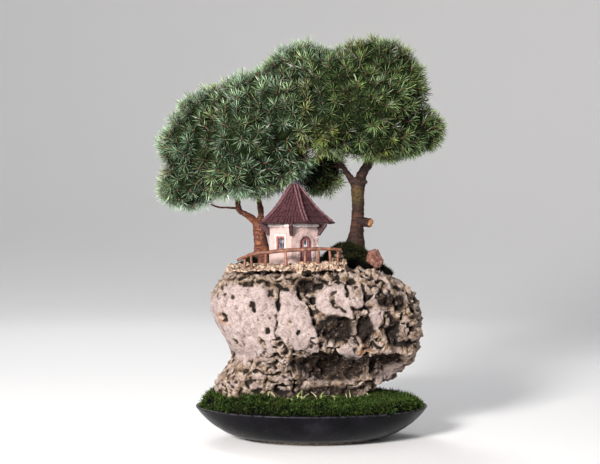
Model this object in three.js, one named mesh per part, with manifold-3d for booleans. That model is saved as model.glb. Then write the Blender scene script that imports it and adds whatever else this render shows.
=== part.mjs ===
// Two spruces on a pitted rock with a small cottage and a twig fence, in a shallow oval tray.
// Millimetres, +Z up, the viewer looks along +Y. The origin is under the middle of the whole.
import * as THREE from "three";
import { mergeVertices } from "three/addons/utils/BufferGeometryUtils.js";
import { ImprovedNoise } from "three/addons/math/ImprovedNoise.js";
import Module from "manifold-3d";

const { PI, abs, atan2, cos, exp, hypot, min, pow, sin } = Math;
const V = (x, y, z) => new THREE.Vector3(x, y, z);
const radians = THREE.MathUtils.degToRad;

// Clearances between pieces that rest on or in each other
const GAP = 0.3;
const HOLE_GAP = 0.4;

// Tray: an oval shell on a foot ring
const TRAY_X = 12.1;
const TRAY_LONG = 127; // half of the rim's length
const TRAY_SIDES = 28;
const TRAY_FLAT = 91 / 127; // the tray's depth for its length
const RIM_Z = 37;
const TRAY_FLOOR_Z = 9;
const FOOT_OUT = 65;
const FOOT_IN = 60;
const SOIL_TOP_Z = 29.7;
const MOSS_EDGE_Z = 36;

// Rock: a star-shaped body about its own middle
const ROCK_MIDDLE = V(16, 4, 113);
const ROCK_DEPTH_UP = 80;
const ROCK_DEPTH_DOWN = 52;
const ROCK_FOOT_Z = TRAY_FLOOR_Z + GAP;
const PLATEAU_Z = 185.7;
const ROCK_DETAIL = 7;
const PEBBLE_DROP_Z = 220; // loose pebbles are let down from here

// Ledge on the rock and the cottage on it
const LEDGE_TOP_Z = 191.7;
const HOUSE_X = -6.5;
const HOUSE_Y = -25;
const WALL_FOOT_Z = LEDGE_TOP_Z + GAP;
const WALL_R = 27.6; // from the middle to a corner of the walls
const WALL_TOP_Z = 232.6;
const CORNICE_R = 29.6;
const CORNICE_TOP_Z = 235;
const FIRST_CORNER = -78.7; // degrees from the viewer's side, growing to the right
const ROOF_TURN = 24.3;
const EAVE_R = 40.5;
const EAVE_Z = 235.3;
const ROOF_TOP_Z = 277.5;

// Needles: true size, one raised from each face of a pad's core
const NEEDLE_LONG = 14.5;
const NEEDLE_THICK = 1.5;
const NEEDLE_RISE = 0.86 * NEEDLE_LONG; // how far the slanted needles stand out of the core
const WOOD_ROOM = 1.2; // between a needle's middle line and the wood
const BARE_EVERY = 11; // one face of the core in so many stays bare, to save triangles
const PAD_MARGIN = 0.45; // each pad keeps this far from the plane it shares with a neighbour

const noise = new ImprovedNoise();

// A smooth value from -1 to 1 that changes over the given size in mm.
function ripple(p, size, seed = 0) {
  return noise.noise(p.x / size + seed * 17.3, p.y / size + seed * 5.1, p.z / size - seed * 9.7);
}

// Solids: closed meshes that can be cut and joined
const wasm = await Module();
wasm.setup();

function solid(geometry) {
  const bare = new THREE.BufferGeometry();
  const loose = geometry.index ? geometry.toNonIndexed() : geometry;
  bare.setAttribute("position", loose.getAttribute("position"));
  const merged = mergeVertices(bare, 1e-3);
  const triVerts = new Uint32Array(merged.index.array);
  const vertProperties = new Float32Array(merged.attributes.position.array);
  const made = new wasm.Manifold(new wasm.Mesh({ numProp: 3, vertProperties, triVerts }));
  if (made.volume() > 0) return made;
  for (let i = 0; i < triVerts.length; i += 3)
    [triVerts[i + 1], triVerts[i + 2]] = [triVerts[i + 2], triVerts[i + 1]];
  return new wasm.Manifold(new wasm.Mesh({ numProp: 3, vertProperties, triVerts }));
}

// The largest body that a cut leaves, without its loose scraps.
function largest(made) {
  return made.decompose().reduce((a, b) => (b.volume() > a.volume() ? b : a));
}

function geometryOf(made) {
  const mesh = made.getMesh();
  const position = new Float32Array(mesh.numVert * 3);
  for (let i = 0; i < mesh.numVert; i++)
    position.set(mesh.vertProperties.subarray(i * mesh.numProp, i * mesh.numProp + 3), i * 3);
  const geometry = new THREE.BufferGeometry();
  geometry.setAttribute("position", new THREE.BufferAttribute(position, 3));
  geometry.setIndex(new THREE.BufferAttribute(mesh.triVerts, 1));
  return geometry;
}

function moved(geometry, change) {
  const position = geometry.getAttribute("position");
  const p = V(0, 0, 0);
  for (let i = 0; i < position.count; i++) {
    p.fromBufferAttribute(position, i);
    change(p);
    position.setXYZ(i, p.x, p.y, p.z);
  }
  return geometry;
}

// A profile of [radius, height] points turned round +Z.
function turned(profile, segments) {
  const points = profile.map(([r, z]) => new THREE.Vector2(r, z));
  return new THREE.LatheGeometry(points, segments).rotateX(PI / 2);
}

// A round stick of changing thickness along a curve through the points.
function stick(points, radii, sides, steps, grow = 0) {
  const curve = new THREE.CatmullRomCurve3(points, false, "centripetal");
  const thin = 0.2;
  const section = new THREE.Shape();
  for (let i = 0; i < sides; i++) {
    const a = (2 * PI * i) / sides;
    if (i === 0) section.moveTo(thin, 0);
    else section.lineTo(thin * cos(a), thin * sin(a));
  }
  const options = { steps, bevelEnabled: false, extrudePath: curve };
  const made = new THREE.ExtrudeGeometry(section, options);
  const stops = curve.getSpacedPoints(steps);
  return moved(made, (p) => {
    let k = 0;
    stops.forEach((stop, i) => {
      if (stop.distanceToSquared(p) < stops[k].distanceToSquared(p)) k = i;
    });
    const radius = thickness(radii, k / steps) + grow;
    p.sub(stops[k]).multiplyScalar(radius / thin).add(stops[k]);
  });
}

// The radius at a share of a stick's length, between the radii listed for it.
function thickness(radii, share) {
  const at = share * (radii.length - 1);
  const low = min(Math.floor(at), radii.length - 2);
  return THREE.MathUtils.lerp(radii[low], radii[low + 1], at - low);
}

// Scene graph
const group = new THREE.Group();

function addPiece(name, made, colour, roughness = 0.9) {
  const geometry = made instanceof wasm.Manifold ? geometryOf(made) : made;
  const material = new THREE.MeshStandardMaterial({ color: colour, roughness, metalness: 0 });
  const mesh = new THREE.Mesh(geometry, material);
  mesh.name = name;
  group.add(mesh);
  return mesh;
}

// Tray
function ovalTray(p) {
  p.y *= TRAY_FLAT;
  p.x += TRAY_X;
}

function trayShell() {
  const outside = [
    [FOOT_IN, 0],
    [FOOT_OUT, 0],
    [FOOT_OUT, 4.6],
    [87, 5],
    [105.5, 14.5],
    [117, 24],
    [126, 34.5],
    [TRAY_LONG, RIM_Z - 0.8],
    [TRAY_LONG - 2, RIM_Z],
  ];
  const inside = [
    [TRAY_LONG - 5, RIM_Z - 2.4],
    [112.5, 25],
    [101, 16],
    [85, TRAY_FLOOR_Z],
    [0, TRAY_FLOOR_Z],
    [0, 5],
    [FOOT_IN, 5],
    [FOOT_IN, 0],
  ];
  return moved(turned([...outside, ...inside], TRAY_SIDES), ovalTray);
}

// The tray's inner half-length at a height, less the gap that soil and moss keep to it.
function trayInside(z) {
  const wall = [
    [85, TRAY_FLOOR_Z],
    [101, 16],
    [112.5, 25],
    [TRAY_LONG - 5, RIM_Z - 2.4],
  ];
  const upper = wall.findIndex(([, height]) => height >= z);
  const i = upper < 1 ? 1 : upper;
  const [[r0, z0], [r1, z1]] = [wall[i - 1], wall[i]];
  return r0 + ((r1 - r0) * (z - z0)) / (z1 - z0) - 1.6 * GAP;
}

// Rock
// The front outline as the distance from the rock's middle, by angle: [x, z] points round it.
const ROCK_OUTLINE = [
  [-77, 186], [-84, 170], [-95, 160], [-97, 149], [-92, 134], [-86, 124], [-80, 111], [-75, 98],
  [-60, 90], [-78, 82], [-89, 72], [-95, 62], [-92, 55], [-86, 44], [-80, 30], [-66, 9], [-30, 0],
  [10, 0], [50, 9], [64, 30], [68, 44], [73, 57], [87, 60], [98, 64], [107, 76], [116, 79],
  [125, 88], [131, 101], [130, 115], [131, 132], [129, 148], [122, 159], [112, 169], [100, 177],
  [80, 182], [64, 190], [40, 203], [0, 207], [-40, 203],
];
const ROCK_POLAR = ROCK_OUTLINE.map(([x, z]) => {
  const dx = x - ROCK_MIDDLE.x;
  const dz = z - ROCK_MIDDLE.z;
  return [atan2(dz, dx), hypot(dx, dz)];
}).sort((a, b) => a[0] - b[0]);

function outlineRadius(angle) {
  const n = ROCK_POLAR.length;
  const after = ROCK_POLAR.findIndex(([a]) => a > angle);
  const [a1, r1] = after < 0 ? [ROCK_POLAR[0][0] + 2 * PI, ROCK_POLAR[0][1]] : ROCK_POLAR[after];
  const before = after < 0 ? n - 1 : after - 1;
  const [a0, r0] =
    before < 0 ? [ROCK_POLAR[n - 1][0] - 2 * PI, ROCK_POLAR[n - 1][1]] : ROCK_POLAR[before];
  return r0 + ((r1 - r0) * (angle - a0)) / (a1 - a0);
}

// Swellings (+) and hollows (-) of the rock: place, width and height of each in mm.
const ROCK_FORMS = [
  { at: V(0, -78, 118), wide: 26, high: 9 }, // overhanging plate at the front
  { at: V(32, -62, 68), wide: 25, high: -20 }, // deep shaded hollow under it
  { at: V(92, -48, 82), wide: 20, high: -14 }, // hollow low on the right
  { at: V(-60, -45, 52), wide: 26, high: 8 }, // porous lump low on the left
  { at: V(46, -76, 152), wide: 22, high: 6 }, // pale plate high on the right
  { at: V(4, -80, 166), wide: 11, high: -8 }, // pit under the ledge
  { at: V(96, -40, 165), wide: 12, high: -8 }, // pit at the right shoulder
  { at: V(-72, -40, 138), wide: 24, high: 6 }, // smooth plate at the left
  { at: V(-30, 70, 120), wide: 26, high: 10 }, // swelling at the back
  { at: V(60, 72, 84), wide: 22, high: -13 }, // hollow at the back
  { at: V(70, 68, 150), wide: 24, high: 7 }, // shoulder at the back
  { at: V(-40, 55, 66), wide: 18, high: -9 }, // pit low at the back
];

function rockRadius(direction) {
  const flat = hypot(direction.x, direction.z);
  const front = outlineRadius(atan2(direction.z, direction.x));
  const lift = THREE.MathUtils.smoothstep(direction.z, -0.75, 0.1);
  const depth = ROCK_DEPTH_DOWN + (ROCK_DEPTH_UP - ROCK_DEPTH_DOWN) * lift;
  const boxy = 3.6 + 2.6 * THREE.MathUtils.smoothstep(direction.z, 0.2, 0.6);
  let radius = pow(pow(flat / front, boxy) + pow(abs(direction.y) / depth, boxy), -1 / boxy);
  const p = direction.clone().multiplyScalar(radius).add(ROCK_MIDDLE);
  const side = abs(direction.y); // the front outline itself stays as measured
  for (const { at, wide, high } of ROCK_FORMS)
    radius += high * exp(-p.distanceToSquared(at) / (wide * wide));
  radius += side * (7 * ripple(p, 31, 1) + 5 * abs(ripple(p, 15, 2))) + 2.2 * ripple(p, 11, 3);
  return radius;
}

function rockBody(grow) {
  const ball = new THREE.IcosahedronGeometry(1, ROCK_DETAIL);
  const top = PLATEAU_Z + grow;
  return solid(
    moved(ball, (p) => {
      const direction = p.clone().normalize();
      let radius = rockRadius(direction) + grow;
      if (direction.z > 0) radius = min(radius, (top - ROCK_MIDDLE.z) / direction.z);
      if (direction.z < 0)
        radius = min(radius, (ROCK_FOOT_Z - grow - ROCK_MIDDLE.z) / direction.z);
      p.copy(direction).multiplyScalar(radius).add(ROCK_MIDDLE);
    }),
  );
}

// A low heap on a flat foot: rings of points inside a plan outline, lifted to a height.
function heap({ middle, reach, height, footZ, segments, rings }) {
  const profile = [[0, 0], [1, 0], ...rings.map((r) => [r, 1]), [0, 1]];
  return moved(turned(profile, segments), (p) => {
    const r = hypot(p.x, p.y);
    const out = reach(atan2(p.y, p.x), p.z > 0.5);
    const x = middle.x + p.x * out;
    const y = middle.y + p.y * out;
    p.set(x, y, p.z > 0.5 ? height(x, y, r) : footZ);
  });
}

function trayFilling(rockHole) {
  const soil = [
    [0, TRAY_FLOOR_Z + GAP],
    [trayInside(TRAY_FLOOR_Z + GAP), TRAY_FLOOR_Z + GAP],
    [trayInside(16), 16],
    [trayInside(25), 25],
    [trayInside(SOIL_TOP_Z), SOIL_TOP_Z],
    [0, SOIL_TOP_Z],
  ];
  const soilBody = solid(moved(turned(soil, TRAY_SIDES), ovalTray)).subtract(rockHole);
  addPiece("tray_soil", largest(soilBody), 0x3b2c20);

  const moss = heap({
    middle: V(0, 0, 0),
    reach: (angle, upper) => trayInside(upper ? RIM_Z - 2.4 : SOIL_TOP_Z + GAP),
    footZ: SOIL_TOP_Z + GAP,
    segments: TRAY_SIDES,
    rings: [1, 0.94, 0.8, 0.64],
    height: (x, y, r) => {
      const left = THREE.MathUtils.smoothstep(-x, 20, 90);
      const rise = (6 + 2 * left) * THREE.MathUtils.smoothstep(1 - r, 0, 0.06);
      const bank = (14 + 46 * left) * (1 - r);
      const lumps = 1.8 * ripple(V(x, y, 0), 14, 4) + 1.2 * ripple(V(x, y, 0), 7, 5);
      return MOSS_EDGE_Z + rise + bank + lumps * min(1, (1 - r) * 12);
    },
  });
  const mossBody = solid(moved(moss, ovalTray)).subtract(rockHole);
  addPiece("tray_moss", largest(mossBody), 0x56682c);
}

// Ledge, mounds and stones on the rock
function ledge(grow = 0) {
  const half = { x: 63, front: 50, back: 40 };
  return heap({
    middle: V(-14, -32, 0),
    footZ: PLATEAU_Z + GAP - grow,
    segments: 26,
    rings: [1, 0.86, 0.52],
    reach: (angle, upper) => {
      const deep = sin(angle) < 0 ? half.front : half.back;
      const boxy = 5;
      const c = pow(abs(cos(angle)) / half.x, boxy);
      const s = pow(abs(sin(angle)) / deep, boxy);
      const crumb = 1 + 0.035 * ripple(V(cos(angle) * 4, sin(angle) * 4, upper ? 3 : 0), 1.1, 6);
      return pow(c + s, -1 / boxy) * crumb + grow;
    },
    height: (x, y, r) => {
      const front = THREE.MathUtils.smoothstep(-y, 58, 70);
      const slope = LEDGE_TOP_Z - 5.2 + (x + 60) * 0.09;
      const edge = r > 0.97 ? 1.2 : 0;
      return LEDGE_TOP_Z * (1 - front) + slope * front - edge + grow;
    },
  });
}

const MOUND_LEFT = {
  middle: V(-46, 34, 0), reachX: 35, reachY: 22,
  peak: V(-43, 26, 202), wide: 24, deep: 24,
};
const MOUND_RIGHT = {
  middle: V(60, 8, 0), reachX: 40, reachY: 42,
  peak: V(53, 8, 216), wide: 30, deep: 34,
};

// The mound swells out of the rock's own surface, on which it lies like a skin at its edge.
function moundHeight(x, y, mound, rockMesh) {
  const dx = (x - mound.peak.x) / mound.wide;
  const dy = (y - mound.peak.y) / mound.deep;
  const fall = exp(-(dx * dx + dy * dy));
  const skin = topOf(rockMesh, x, y) + 2.6;
  return skin + (mound.peak.z - skin) * fall + (1 + 1.4 * fall) * ripple(V(x, y, 0), 9, 7);
}

// The height of a piece's upper side at a place seen from above.
function topOf(mesh, x, y) {
  const ray = new THREE.Raycaster(V(x, y, 400), V(0, 0, -1));
  const hits = ray.intersectObject(mesh);
  return hits.length ? hits[0].point.z : PLATEAU_Z - 14;
}

function moundBody(mound, rockMesh) {
  return solid(
    heap({
      middle: mound.middle,
      footZ: 164,
      segments: 20,
      rings: [1, 0.78, 0.5, 0.22],
      reach: (angle) => {
        const wobble = 1 + 0.06 * sin(3 * angle + 1) + 0.04 * sin(5 * angle);
        return (wobble * mound.reachX * mound.reachY) /
          hypot(mound.reachY * cos(angle), mound.reachX * sin(angle));
      },
      height: (x, y) => moundHeight(x, y, mound, rockMesh),
    }),
  );
}

// A small stone: a ball with its corners pushed about.
function stone(middle, size, seed, detail = 1) {
  const ball = new THREE.IcosahedronGeometry(1, detail);
  return moved(ball, (p) => {
    const swell = 1 + 0.22 * ripple(p, 0.9, seed);
    p.multiply(size).multiplyScalar(swell).add(middle);
  });
}

// A loose stone let down until it lies a gap above what is under it.
function lowered(body, under) {
  let [clear, near] = [0, PEBBLE_DROP_Z - PLATEAU_Z];
  for (let i = 0; i < 12; i++) {
    const drop = (clear + near) / 2;
    if (body.translate([0, 0, -drop]).minGap(under, 2) > GAP) clear = drop;
    else near = drop;
  }
  return body.translate([0, 0, -clear]);
}

// Cottage
// A point at a distance from the cottage's middle, at an angle from the viewer's side.
function aroundHouse(angle, distance, z) {
  return V(HOUSE_X + distance * sin(angle), HOUSE_Y - distance * cos(angle), z);
}

function fiveSided(radius, firstCorner, z0, z1) {
  const shape = new THREE.Shape();
  for (let i = 0; i < 5; i++) {
    const p = aroundHouse(radians(firstCorner + 72 * i), radius, 0);
    if (i === 0) shape.moveTo(p.x, p.y);
    else shape.lineTo(p.x, p.y);
  }
  const made = new THREE.ExtrudeGeometry(shape, { depth: z1 - z0, bevelEnabled: false });
  return made.translate(0, 0, z0);
}

// A flat thing on a wall: its outline is drawn in the wall's own plane, x along it and y up.
function onWall(shape, wallAngle, inner, thickness) {
  const made = new THREE.ExtrudeGeometry(shape, { depth: thickness, bevelEnabled: false });
  const place = new THREE.Matrix4();
  const along = V(cos(wallAngle), sin(wallAngle), 0);
  const outward = V(sin(wallAngle), -cos(wallAngle), 0);
  place.makeBasis(along, V(0, 0, 1), outward);
  const foot = aroundHouse(wallAngle, inner, 0);
  return made.applyMatrix4(place).translate(foot.x, foot.y, 0);
}

const WINDOW = { middle: 0.8, half: 6.4, low: 207, high: 222, deep: 3 };
const DOOR = { middle: 1.5, half: 7.5, low: WALL_FOOT_Z, spring: 214.8, deep: 2.6 };
const WINDOW_WALL = radians(FIRST_CORNER + 36);
const DOOR_WALL = radians(FIRST_CORNER + 108);
const WALL_FLAT = WALL_R * cos(PI / 5);

function windowShape(inset) {
  const shape = new THREE.Shape();
  const [x0, x1] = [WINDOW.middle - WINDOW.half + inset, WINDOW.middle + WINDOW.half - inset];
  shape.moveTo(x0, WINDOW.low + inset);
  shape.lineTo(x1, WINDOW.low + inset);
  shape.lineTo(x1, WINDOW.high - inset);
  shape.lineTo(x0, WINDOW.high - inset);
  return shape;
}

function doorShape(inset, low) {
  const shape = new THREE.Shape();
  const half = DOOR.half - inset;
  shape.moveTo(DOOR.middle - half, low);
  shape.lineTo(DOOR.middle + half, low);
  shape.lineTo(DOOR.middle + half, DOOR.spring);
  for (let i = 1; i <= 8; i++) {
    const a = (PI * i) / 8;
    shape.lineTo(DOOR.middle + half * cos(a), DOOR.spring + half * sin(a));
  }
  return shape;
}

function cottage() {
  const cornice = solid(fiveSided(CORNICE_R, FIRST_CORNER, WALL_TOP_Z - 0.01, CORNICE_TOP_Z));
  const windowHole = onWall(windowShape(0), WINDOW_WALL, WALL_FLAT - WINDOW.deep, WINDOW.deep + 1);
  const doorHole = onWall(doorShape(0, DOOR.low - 1), DOOR_WALL, WALL_FLAT - DOOR.deep, 4);
  const walls = solid(fiveSided(WALL_R, FIRST_CORNER, WALL_FOOT_Z, WALL_TOP_Z))
    .add(cornice)
    .subtract(solid(windowHole))
    .subtract(solid(doorHole));
  addPiece("house_walls", walls, 0xe6dcd4);

  const pane = onWall(windowShape(GAP), WINDOW_WALL, WALL_FLAT - WINDOW.deep + GAP, 0.9);
  addPiece("house_window_pane", pane, 0x8e99a6, 0.3);
  const leaf = onWall(doorShape(GAP, DOOR.low), DOOR_WALL, WALL_FLAT - DOOR.deep + GAP, 1.4);
  addPiece("house_door", leaf, 0x7d5660);

  const step = new THREE.Shape();
  step.moveTo(DOOR.middle - 9, LEDGE_TOP_Z + GAP);
  step.lineTo(DOOR.middle + 9, LEDGE_TOP_Z + GAP);
  step.lineTo(DOOR.middle + 8, LEDGE_TOP_Z + 3);
  step.lineTo(DOOR.middle - 8, LEDGE_TOP_Z + 3.4);
  addPiece("house_door_step", onWall(step, DOOR_WALL, WALL_FLAT + GAP, 7), 0xa8724e);

  addPiece("house_roof", roof(), 0x6f5a63);
  const cap = turned([[0, 0], [4.6, 0], [4, 4], [1.6, 7], [0, 7.2]], 8);
  addPiece("house_roof_cap", cap.translate(HOUSE_X, HOUSE_Y, ROOF_TOP_Z + GAP), 0x77757c);
  for (let i = 0; i < 5; i++) addPiece("house_eave_bracket_" + (i + 1), bracket(i), 0x4e353b);
}

// The roof: courses of shingles, each a little step in from the one below.
function roof() {
  const courses = 6;
  const topR = 3.6;
  const thick = 2.2;
  const profile = [[0, 0], [EAVE_R, 0], [EAVE_R, thick]];
  const rise = ROOF_TOP_Z - EAVE_Z - thick;
  for (let i = 1; i <= courses; i++) {
    const t = i / courses;
    const bow = 1 - 0.12 * sin(PI * t); // the slopes are a little hollow
    const r = (EAVE_R + (topR - EAVE_R) * t) * bow;
    profile.push([r, thick + rise * t - (i < courses ? 0.9 : 0)]);
    if (i < courses) profile.push([r - 0.2, thick + rise * t]);
  }
  profile.push([0, ROOF_TOP_Z - EAVE_Z]);
  const made = turned(profile, 5);
  const first = new THREE.Vector3().fromBufferAttribute(made.getAttribute("position"), 1);
  const now = atan2(first.x, -first.y);
  made.rotateZ(radians(FIRST_CORNER + ROOF_TURN) - now);
  return made.translate(HOUSE_X, HOUSE_Y, EAVE_Z);
}

function bracket(i) {
  const outline = [
    [WALL_R + GAP, 222.5],
    [WALL_R + GAP + 1.6, 222.5],
    [37.5, EAVE_Z - 2.4],
    [37.5, EAVE_Z - GAP],
    [CORNICE_R + GAP, EAVE_Z - GAP],
    [CORNICE_R + GAP, WALL_TOP_Z - GAP],
    [WALL_R + GAP, WALL_TOP_Z - GAP],
  ];
  const shape = new THREE.Shape(outline.map(([x, z]) => new THREE.Vector2(x, z)));
  const width = 3.4;
  const made = new THREE.ExtrudeGeometry(shape, { depth: width, bevelEnabled: false });
  const angle = radians(FIRST_CORNER + 72 * i);
  const outward = V(sin(angle), -cos(angle), 0);
  const aside = V(outward.y, -outward.x, 0);
  const place = new THREE.Matrix4().makeBasis(outward, V(0, 0, 1), aside);
  made.translate(0, 0, -width / 2).applyMatrix4(place);
  return made.translate(HOUSE_X, HOUSE_Y, 0);
}

// Fence: one bent twig on eight posts along the ledge's edge
const RAIL_POINTS = [
  V(-66, -56, 197), V(-58, -64, 200.4), V(-47.5, -70, 204), V(-35.5, -73.5, 205.2),
  V(-16, -76, 207.3), V(2.5, -77, 208.3), V(25, -75, 208.9), V(42.5, -70, 208),
];
const RAIL_R = 1.35;
const POST_X = [-58, -51.5, -35.6, -15.8, 5.2, 19, 30, 39.5];

function fence(ledgeMesh) {
  const rail = new THREE.CatmullRomCurve3(RAIL_POINTS, false, "centripetal");
  addPiece("fence_rail", stick(RAIL_POINTS, [RAIL_R, RAIL_R, RAIL_R * 0.9], 5, 10), 0x8a4f37);
  POST_X.forEach((x, i) => {
    const head = rail.getPoints(200).reduce((a, b) => (abs(b.x - x) < abs(a.x - x) ? b : a));
    const top = V(head.x, head.y, head.z - RAIL_R - 2 * GAP);
    const foot = topOf(ledgeMesh, x, head.y) + 2 * GAP;
    const lean = 0.9 * sin(i * 2.4);
    const points = [V(x + lean, head.y, foot), V(x, head.y, top.z)];
    const post = stick(points, [1.35, 1.1 + 0.15 * cos(i)], 5, 1);
    addPiece("fence_post_" + (i + 1), post, 0x8a4f37);
  });
}

// Spruces
// Each limb: points along it and its radii, spread evenly from the first point to the last.
const LEFT_STEMS = [
  { points: [V(-43, 22, 190), V(-43.5, 20, 205), V(-45, 19, 222), V(-46.5, 19, 238)],
    radii: [10.5, 8.4, 7.2, 6.6], sides: 8, steps: 4 },
  { points: [V(-46, 19, 234), V(-57.5, 15, 243.5), V(-68.5, 12, 252.5), V(-70, 10, 263),
    V(-78, 6, 274), V(-92, 2, 292)], radii: [4.6, 3.9, 3.5, 3.1, 2.7, 2], sides: 6, steps: 7 },
  { points: [V(-45.5, 19, 233), V(-44, 19, 246), V(-45.5, 18, 258), V(-48.5, 16, 275),
    V(-47.5, 12, 306), V(-36.5, 8, 350), V(-20, 4, 388)],
    radii: [4.3, 3.4, 3.1, 3, 2.8, 2.4, 1.7], sides: 6, steps: 8 },
  { points: [V(-68, 12, 252.6), V(-80, 9, 253.4), V(-90, 5, 253.8), V(-99, 1, 256.8)],
    radii: [1.3, 1.1, 1, 0.8], sides: 4, steps: 3 },
];
const RIGHT_STEMS = [
  { points: [V(60, 12, 196), V(60.5, 11, 212), V(62, 10, 224), V(63.6, 10, 252), V(63.4, 10, 270),
    V(63.5, 10, 286)], radii: [14.5, 11, 8.2, 6.6, 7.4, 7.6], sides: 9, steps: 7 },
  { points: [V(61, 10, 278), V(55, 8, 286), V(45.5, 5, 300), V(34, 0, 309), V(26, -8, 322)],
    radii: [4.6, 3.6, 3, 2.4, 1.8], sides: 6, steps: 5 },
  { points: [V(65, 10, 279), V(69, 10, 291), V(76, 8, 304), V(80, 4, 330), V(80, 0, 362),
    V(79, -2, 392)], radii: [6.4, 5.8, 5.4, 4, 3, 2], sides: 7, steps: 7 },
  { points: [V(66, 8, 279), V(74, 5, 282.6)], radii: [2.6, 1.9], sides: 6, steps: 1 },
  { points: [V(66, 6, 238), V(77, -3, 236)], radii: [5.6, 5], sides: 8, steps: 1 },
];

// A pad's middle, its half-sizes to the needle tips, and the point of the wood it hangs from.
const LEFT_PADS = [
  { at: V(-123, -8, 274), half: V(40, 38, 28), from: V(-92, 2, 292) },
  { at: V(-117, -12, 319), half: V(44, 44, 37), from: V(-92, 2, 292) },
  { at: V(-95, -6, 355), half: V(45, 44, 33), from: V(-45, 11, 318) },
  { at: V(-68, -36, 288), half: V(45, 42, 31), from: V(-78, 6, 274) },
  { at: V(-60, -42, 331), half: V(46, 44, 38), from: V(-47.5, 12, 306) },
  { at: V(-51, -10, 372), half: V(42, 44, 33), from: V(-36.5, 8, 350) },
  { at: V(2, 2, 407), half: V(44, 46, 33), from: V(-20, 4, 388) },
  { at: V(-12, -40, 356), half: V(44, 42, 41), from: V(-40, 9, 337) },
  { at: V(-20, -18, 306), half: V(36, 38, 32), from: V(-47.5, 12, 304) },
  { at: V(-96, 50, 318), half: V(46, 40, 40), from: V(-47.5, 13, 300) },
  { at: V(-38, 56, 342), half: V(46, 40, 42), from: V(-42, 10, 328) },
  { at: V(-50, 46, 290), half: V(40, 36, 30), from: V(-48.5, 16, 280) },
  { at: V(-28, 46, 390), half: V(42, 38, 30), from: V(-26, 6, 372) },
];
const RIGHT_PADS = [
  { at: V(26, -42, 338), half: V(40, 38, 34), from: V(26, -8, 322) },
  { at: V(37, -38, 384), half: V(42, 40, 36), from: V(79, -1, 372) },
  { at: V(79, -4, 412), half: V(45, 46, 32), from: V(79, -2, 392) },
  { at: V(75, -48, 364), half: V(44, 42, 38), from: V(80, 1, 350) },
  { at: V(108, -6, 384), half: V(35, 44, 40), from: V(80, 0, 360) },
  { at: V(129, -4, 337), half: V(35, 40, 28), from: V(80, 3, 334) },
  { at: V(84, -28, 324), half: V(48, 38, 28), from: V(79, 5, 322) },
  { at: V(32, 44, 356), half: V(44, 40, 40), from: V(79, 2, 342) },
  { at: V(90, 50, 372), half: V(46, 40, 38), from: V(80, 1, 352) },
  { at: V(22, 32, 292), half: V(33, 32, 31), from: V(45.5, 5, 300) },
  { at: V(104, 42, 328), half: V(40, 38, 27), from: V(79, 5, 322) },
];

function reachOf(half, direction) {
  return 1 / hypot(direction.x / half.x, direction.y / half.y, direction.z / half.z);
}

// The plane between two pads whose needle tips could meet: nothing of either crosses it.
function planeBetween(pad, other) {
  const across = other.at.clone().sub(pad.at);
  const apart = across.length();
  across.divideScalar(apart);
  const mine = reachOf(pad.half, across);
  const theirs = reachOf(other.half, across);
  if (mine + theirs < apart - 2) return null;
  return { normal: across, limit: (apart * mine) / (mine + theirs) - PAD_MARGIN };
}

// A branch from the wood to well inside a pad's core, bowed upward a little.
function branchTo(pad) {
  const end = pad.at.clone().lerp(pad.from, 0.12);
  const middle = pad.from.clone().lerp(end, 0.5).add(V(0, 0, 3));
  return { points: [pad.from, middle, end], radii: [2.1, 1.6, 1.1], sides: 4, steps: 2 };
}

function woodOf(limbs, grow = 0) {
  return limbs
    .map(({ points, radii, sides, steps }) => solid(stick(points, radii, sides, steps, grow)))
    .reduce((a, b) => a.add(b));
}

// Points along the wood with their thickness, which the needles keep clear of.
function woodPoints(limbs) {
  return limbs.flatMap(({ points, radii }) => {
    const curve = new THREE.CatmullRomCurve3(points, false, "centripetal");
    const count = Math.ceil(curve.getLength() / 2);
    return Array.from({ length: count + 1 }, (_, i) => ({
      p: curve.getPointAt(i / count),
      radius: thickness(radii, i / count),
    }));
  });
}

// A pad: a lumpy core with a needle raised from the middle of each of its faces.
function padBody(pad, index, planes, wood) {
  const faces = mergeVertices(bareBall(1), 1e-4);
  const position = faces.getAttribute("position");
  const core = [];
  for (let i = 0; i < position.count; i++) {
    const direction = V(0, 0, 0).fromBufferAttribute(position, i).normalize();
    const lump = 1 + 0.16 * ripple(direction, 0.55, index + 11);
    let reach = (reachOf(pad.half, direction) - NEEDLE_RISE) * lump;
    for (const { normal, limit } of planes) {
      const toward = direction.dot(normal);
      if (toward > 0) reach = min(reach, limit / toward);
    }
    core.push(direction.multiplyScalar(reach).add(pad.at));
  }
  const triangles = [];
  const clear = (p) =>
    planes.every(({ normal, limit }) => p.clone().sub(pad.at).dot(normal) < limit) &&
    wood.every((w) => w.p.distanceTo(p) > w.radius + WOOD_ROOM);
  for (let i = 0; i < faces.index.count; i += 3) {
    const corners = [0, 1, 2].map((k) => core[faces.index.getX(i + k)]);
    const bare = (i / 3 + index) % BARE_EVERY === 0;
    triangles.push(...(bare ? corners : needleOn(corners, pad, clear, index * 97 + i)));
  }
  return solid(new THREE.BufferGeometry().setFromPoints(triangles));
}

function bareBall(detail) {
  const ball = new THREE.IcosahedronGeometry(1, detail);
  ball.deleteAttribute("uv");
  ball.deleteAttribute("normal");
  return ball;
}

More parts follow.
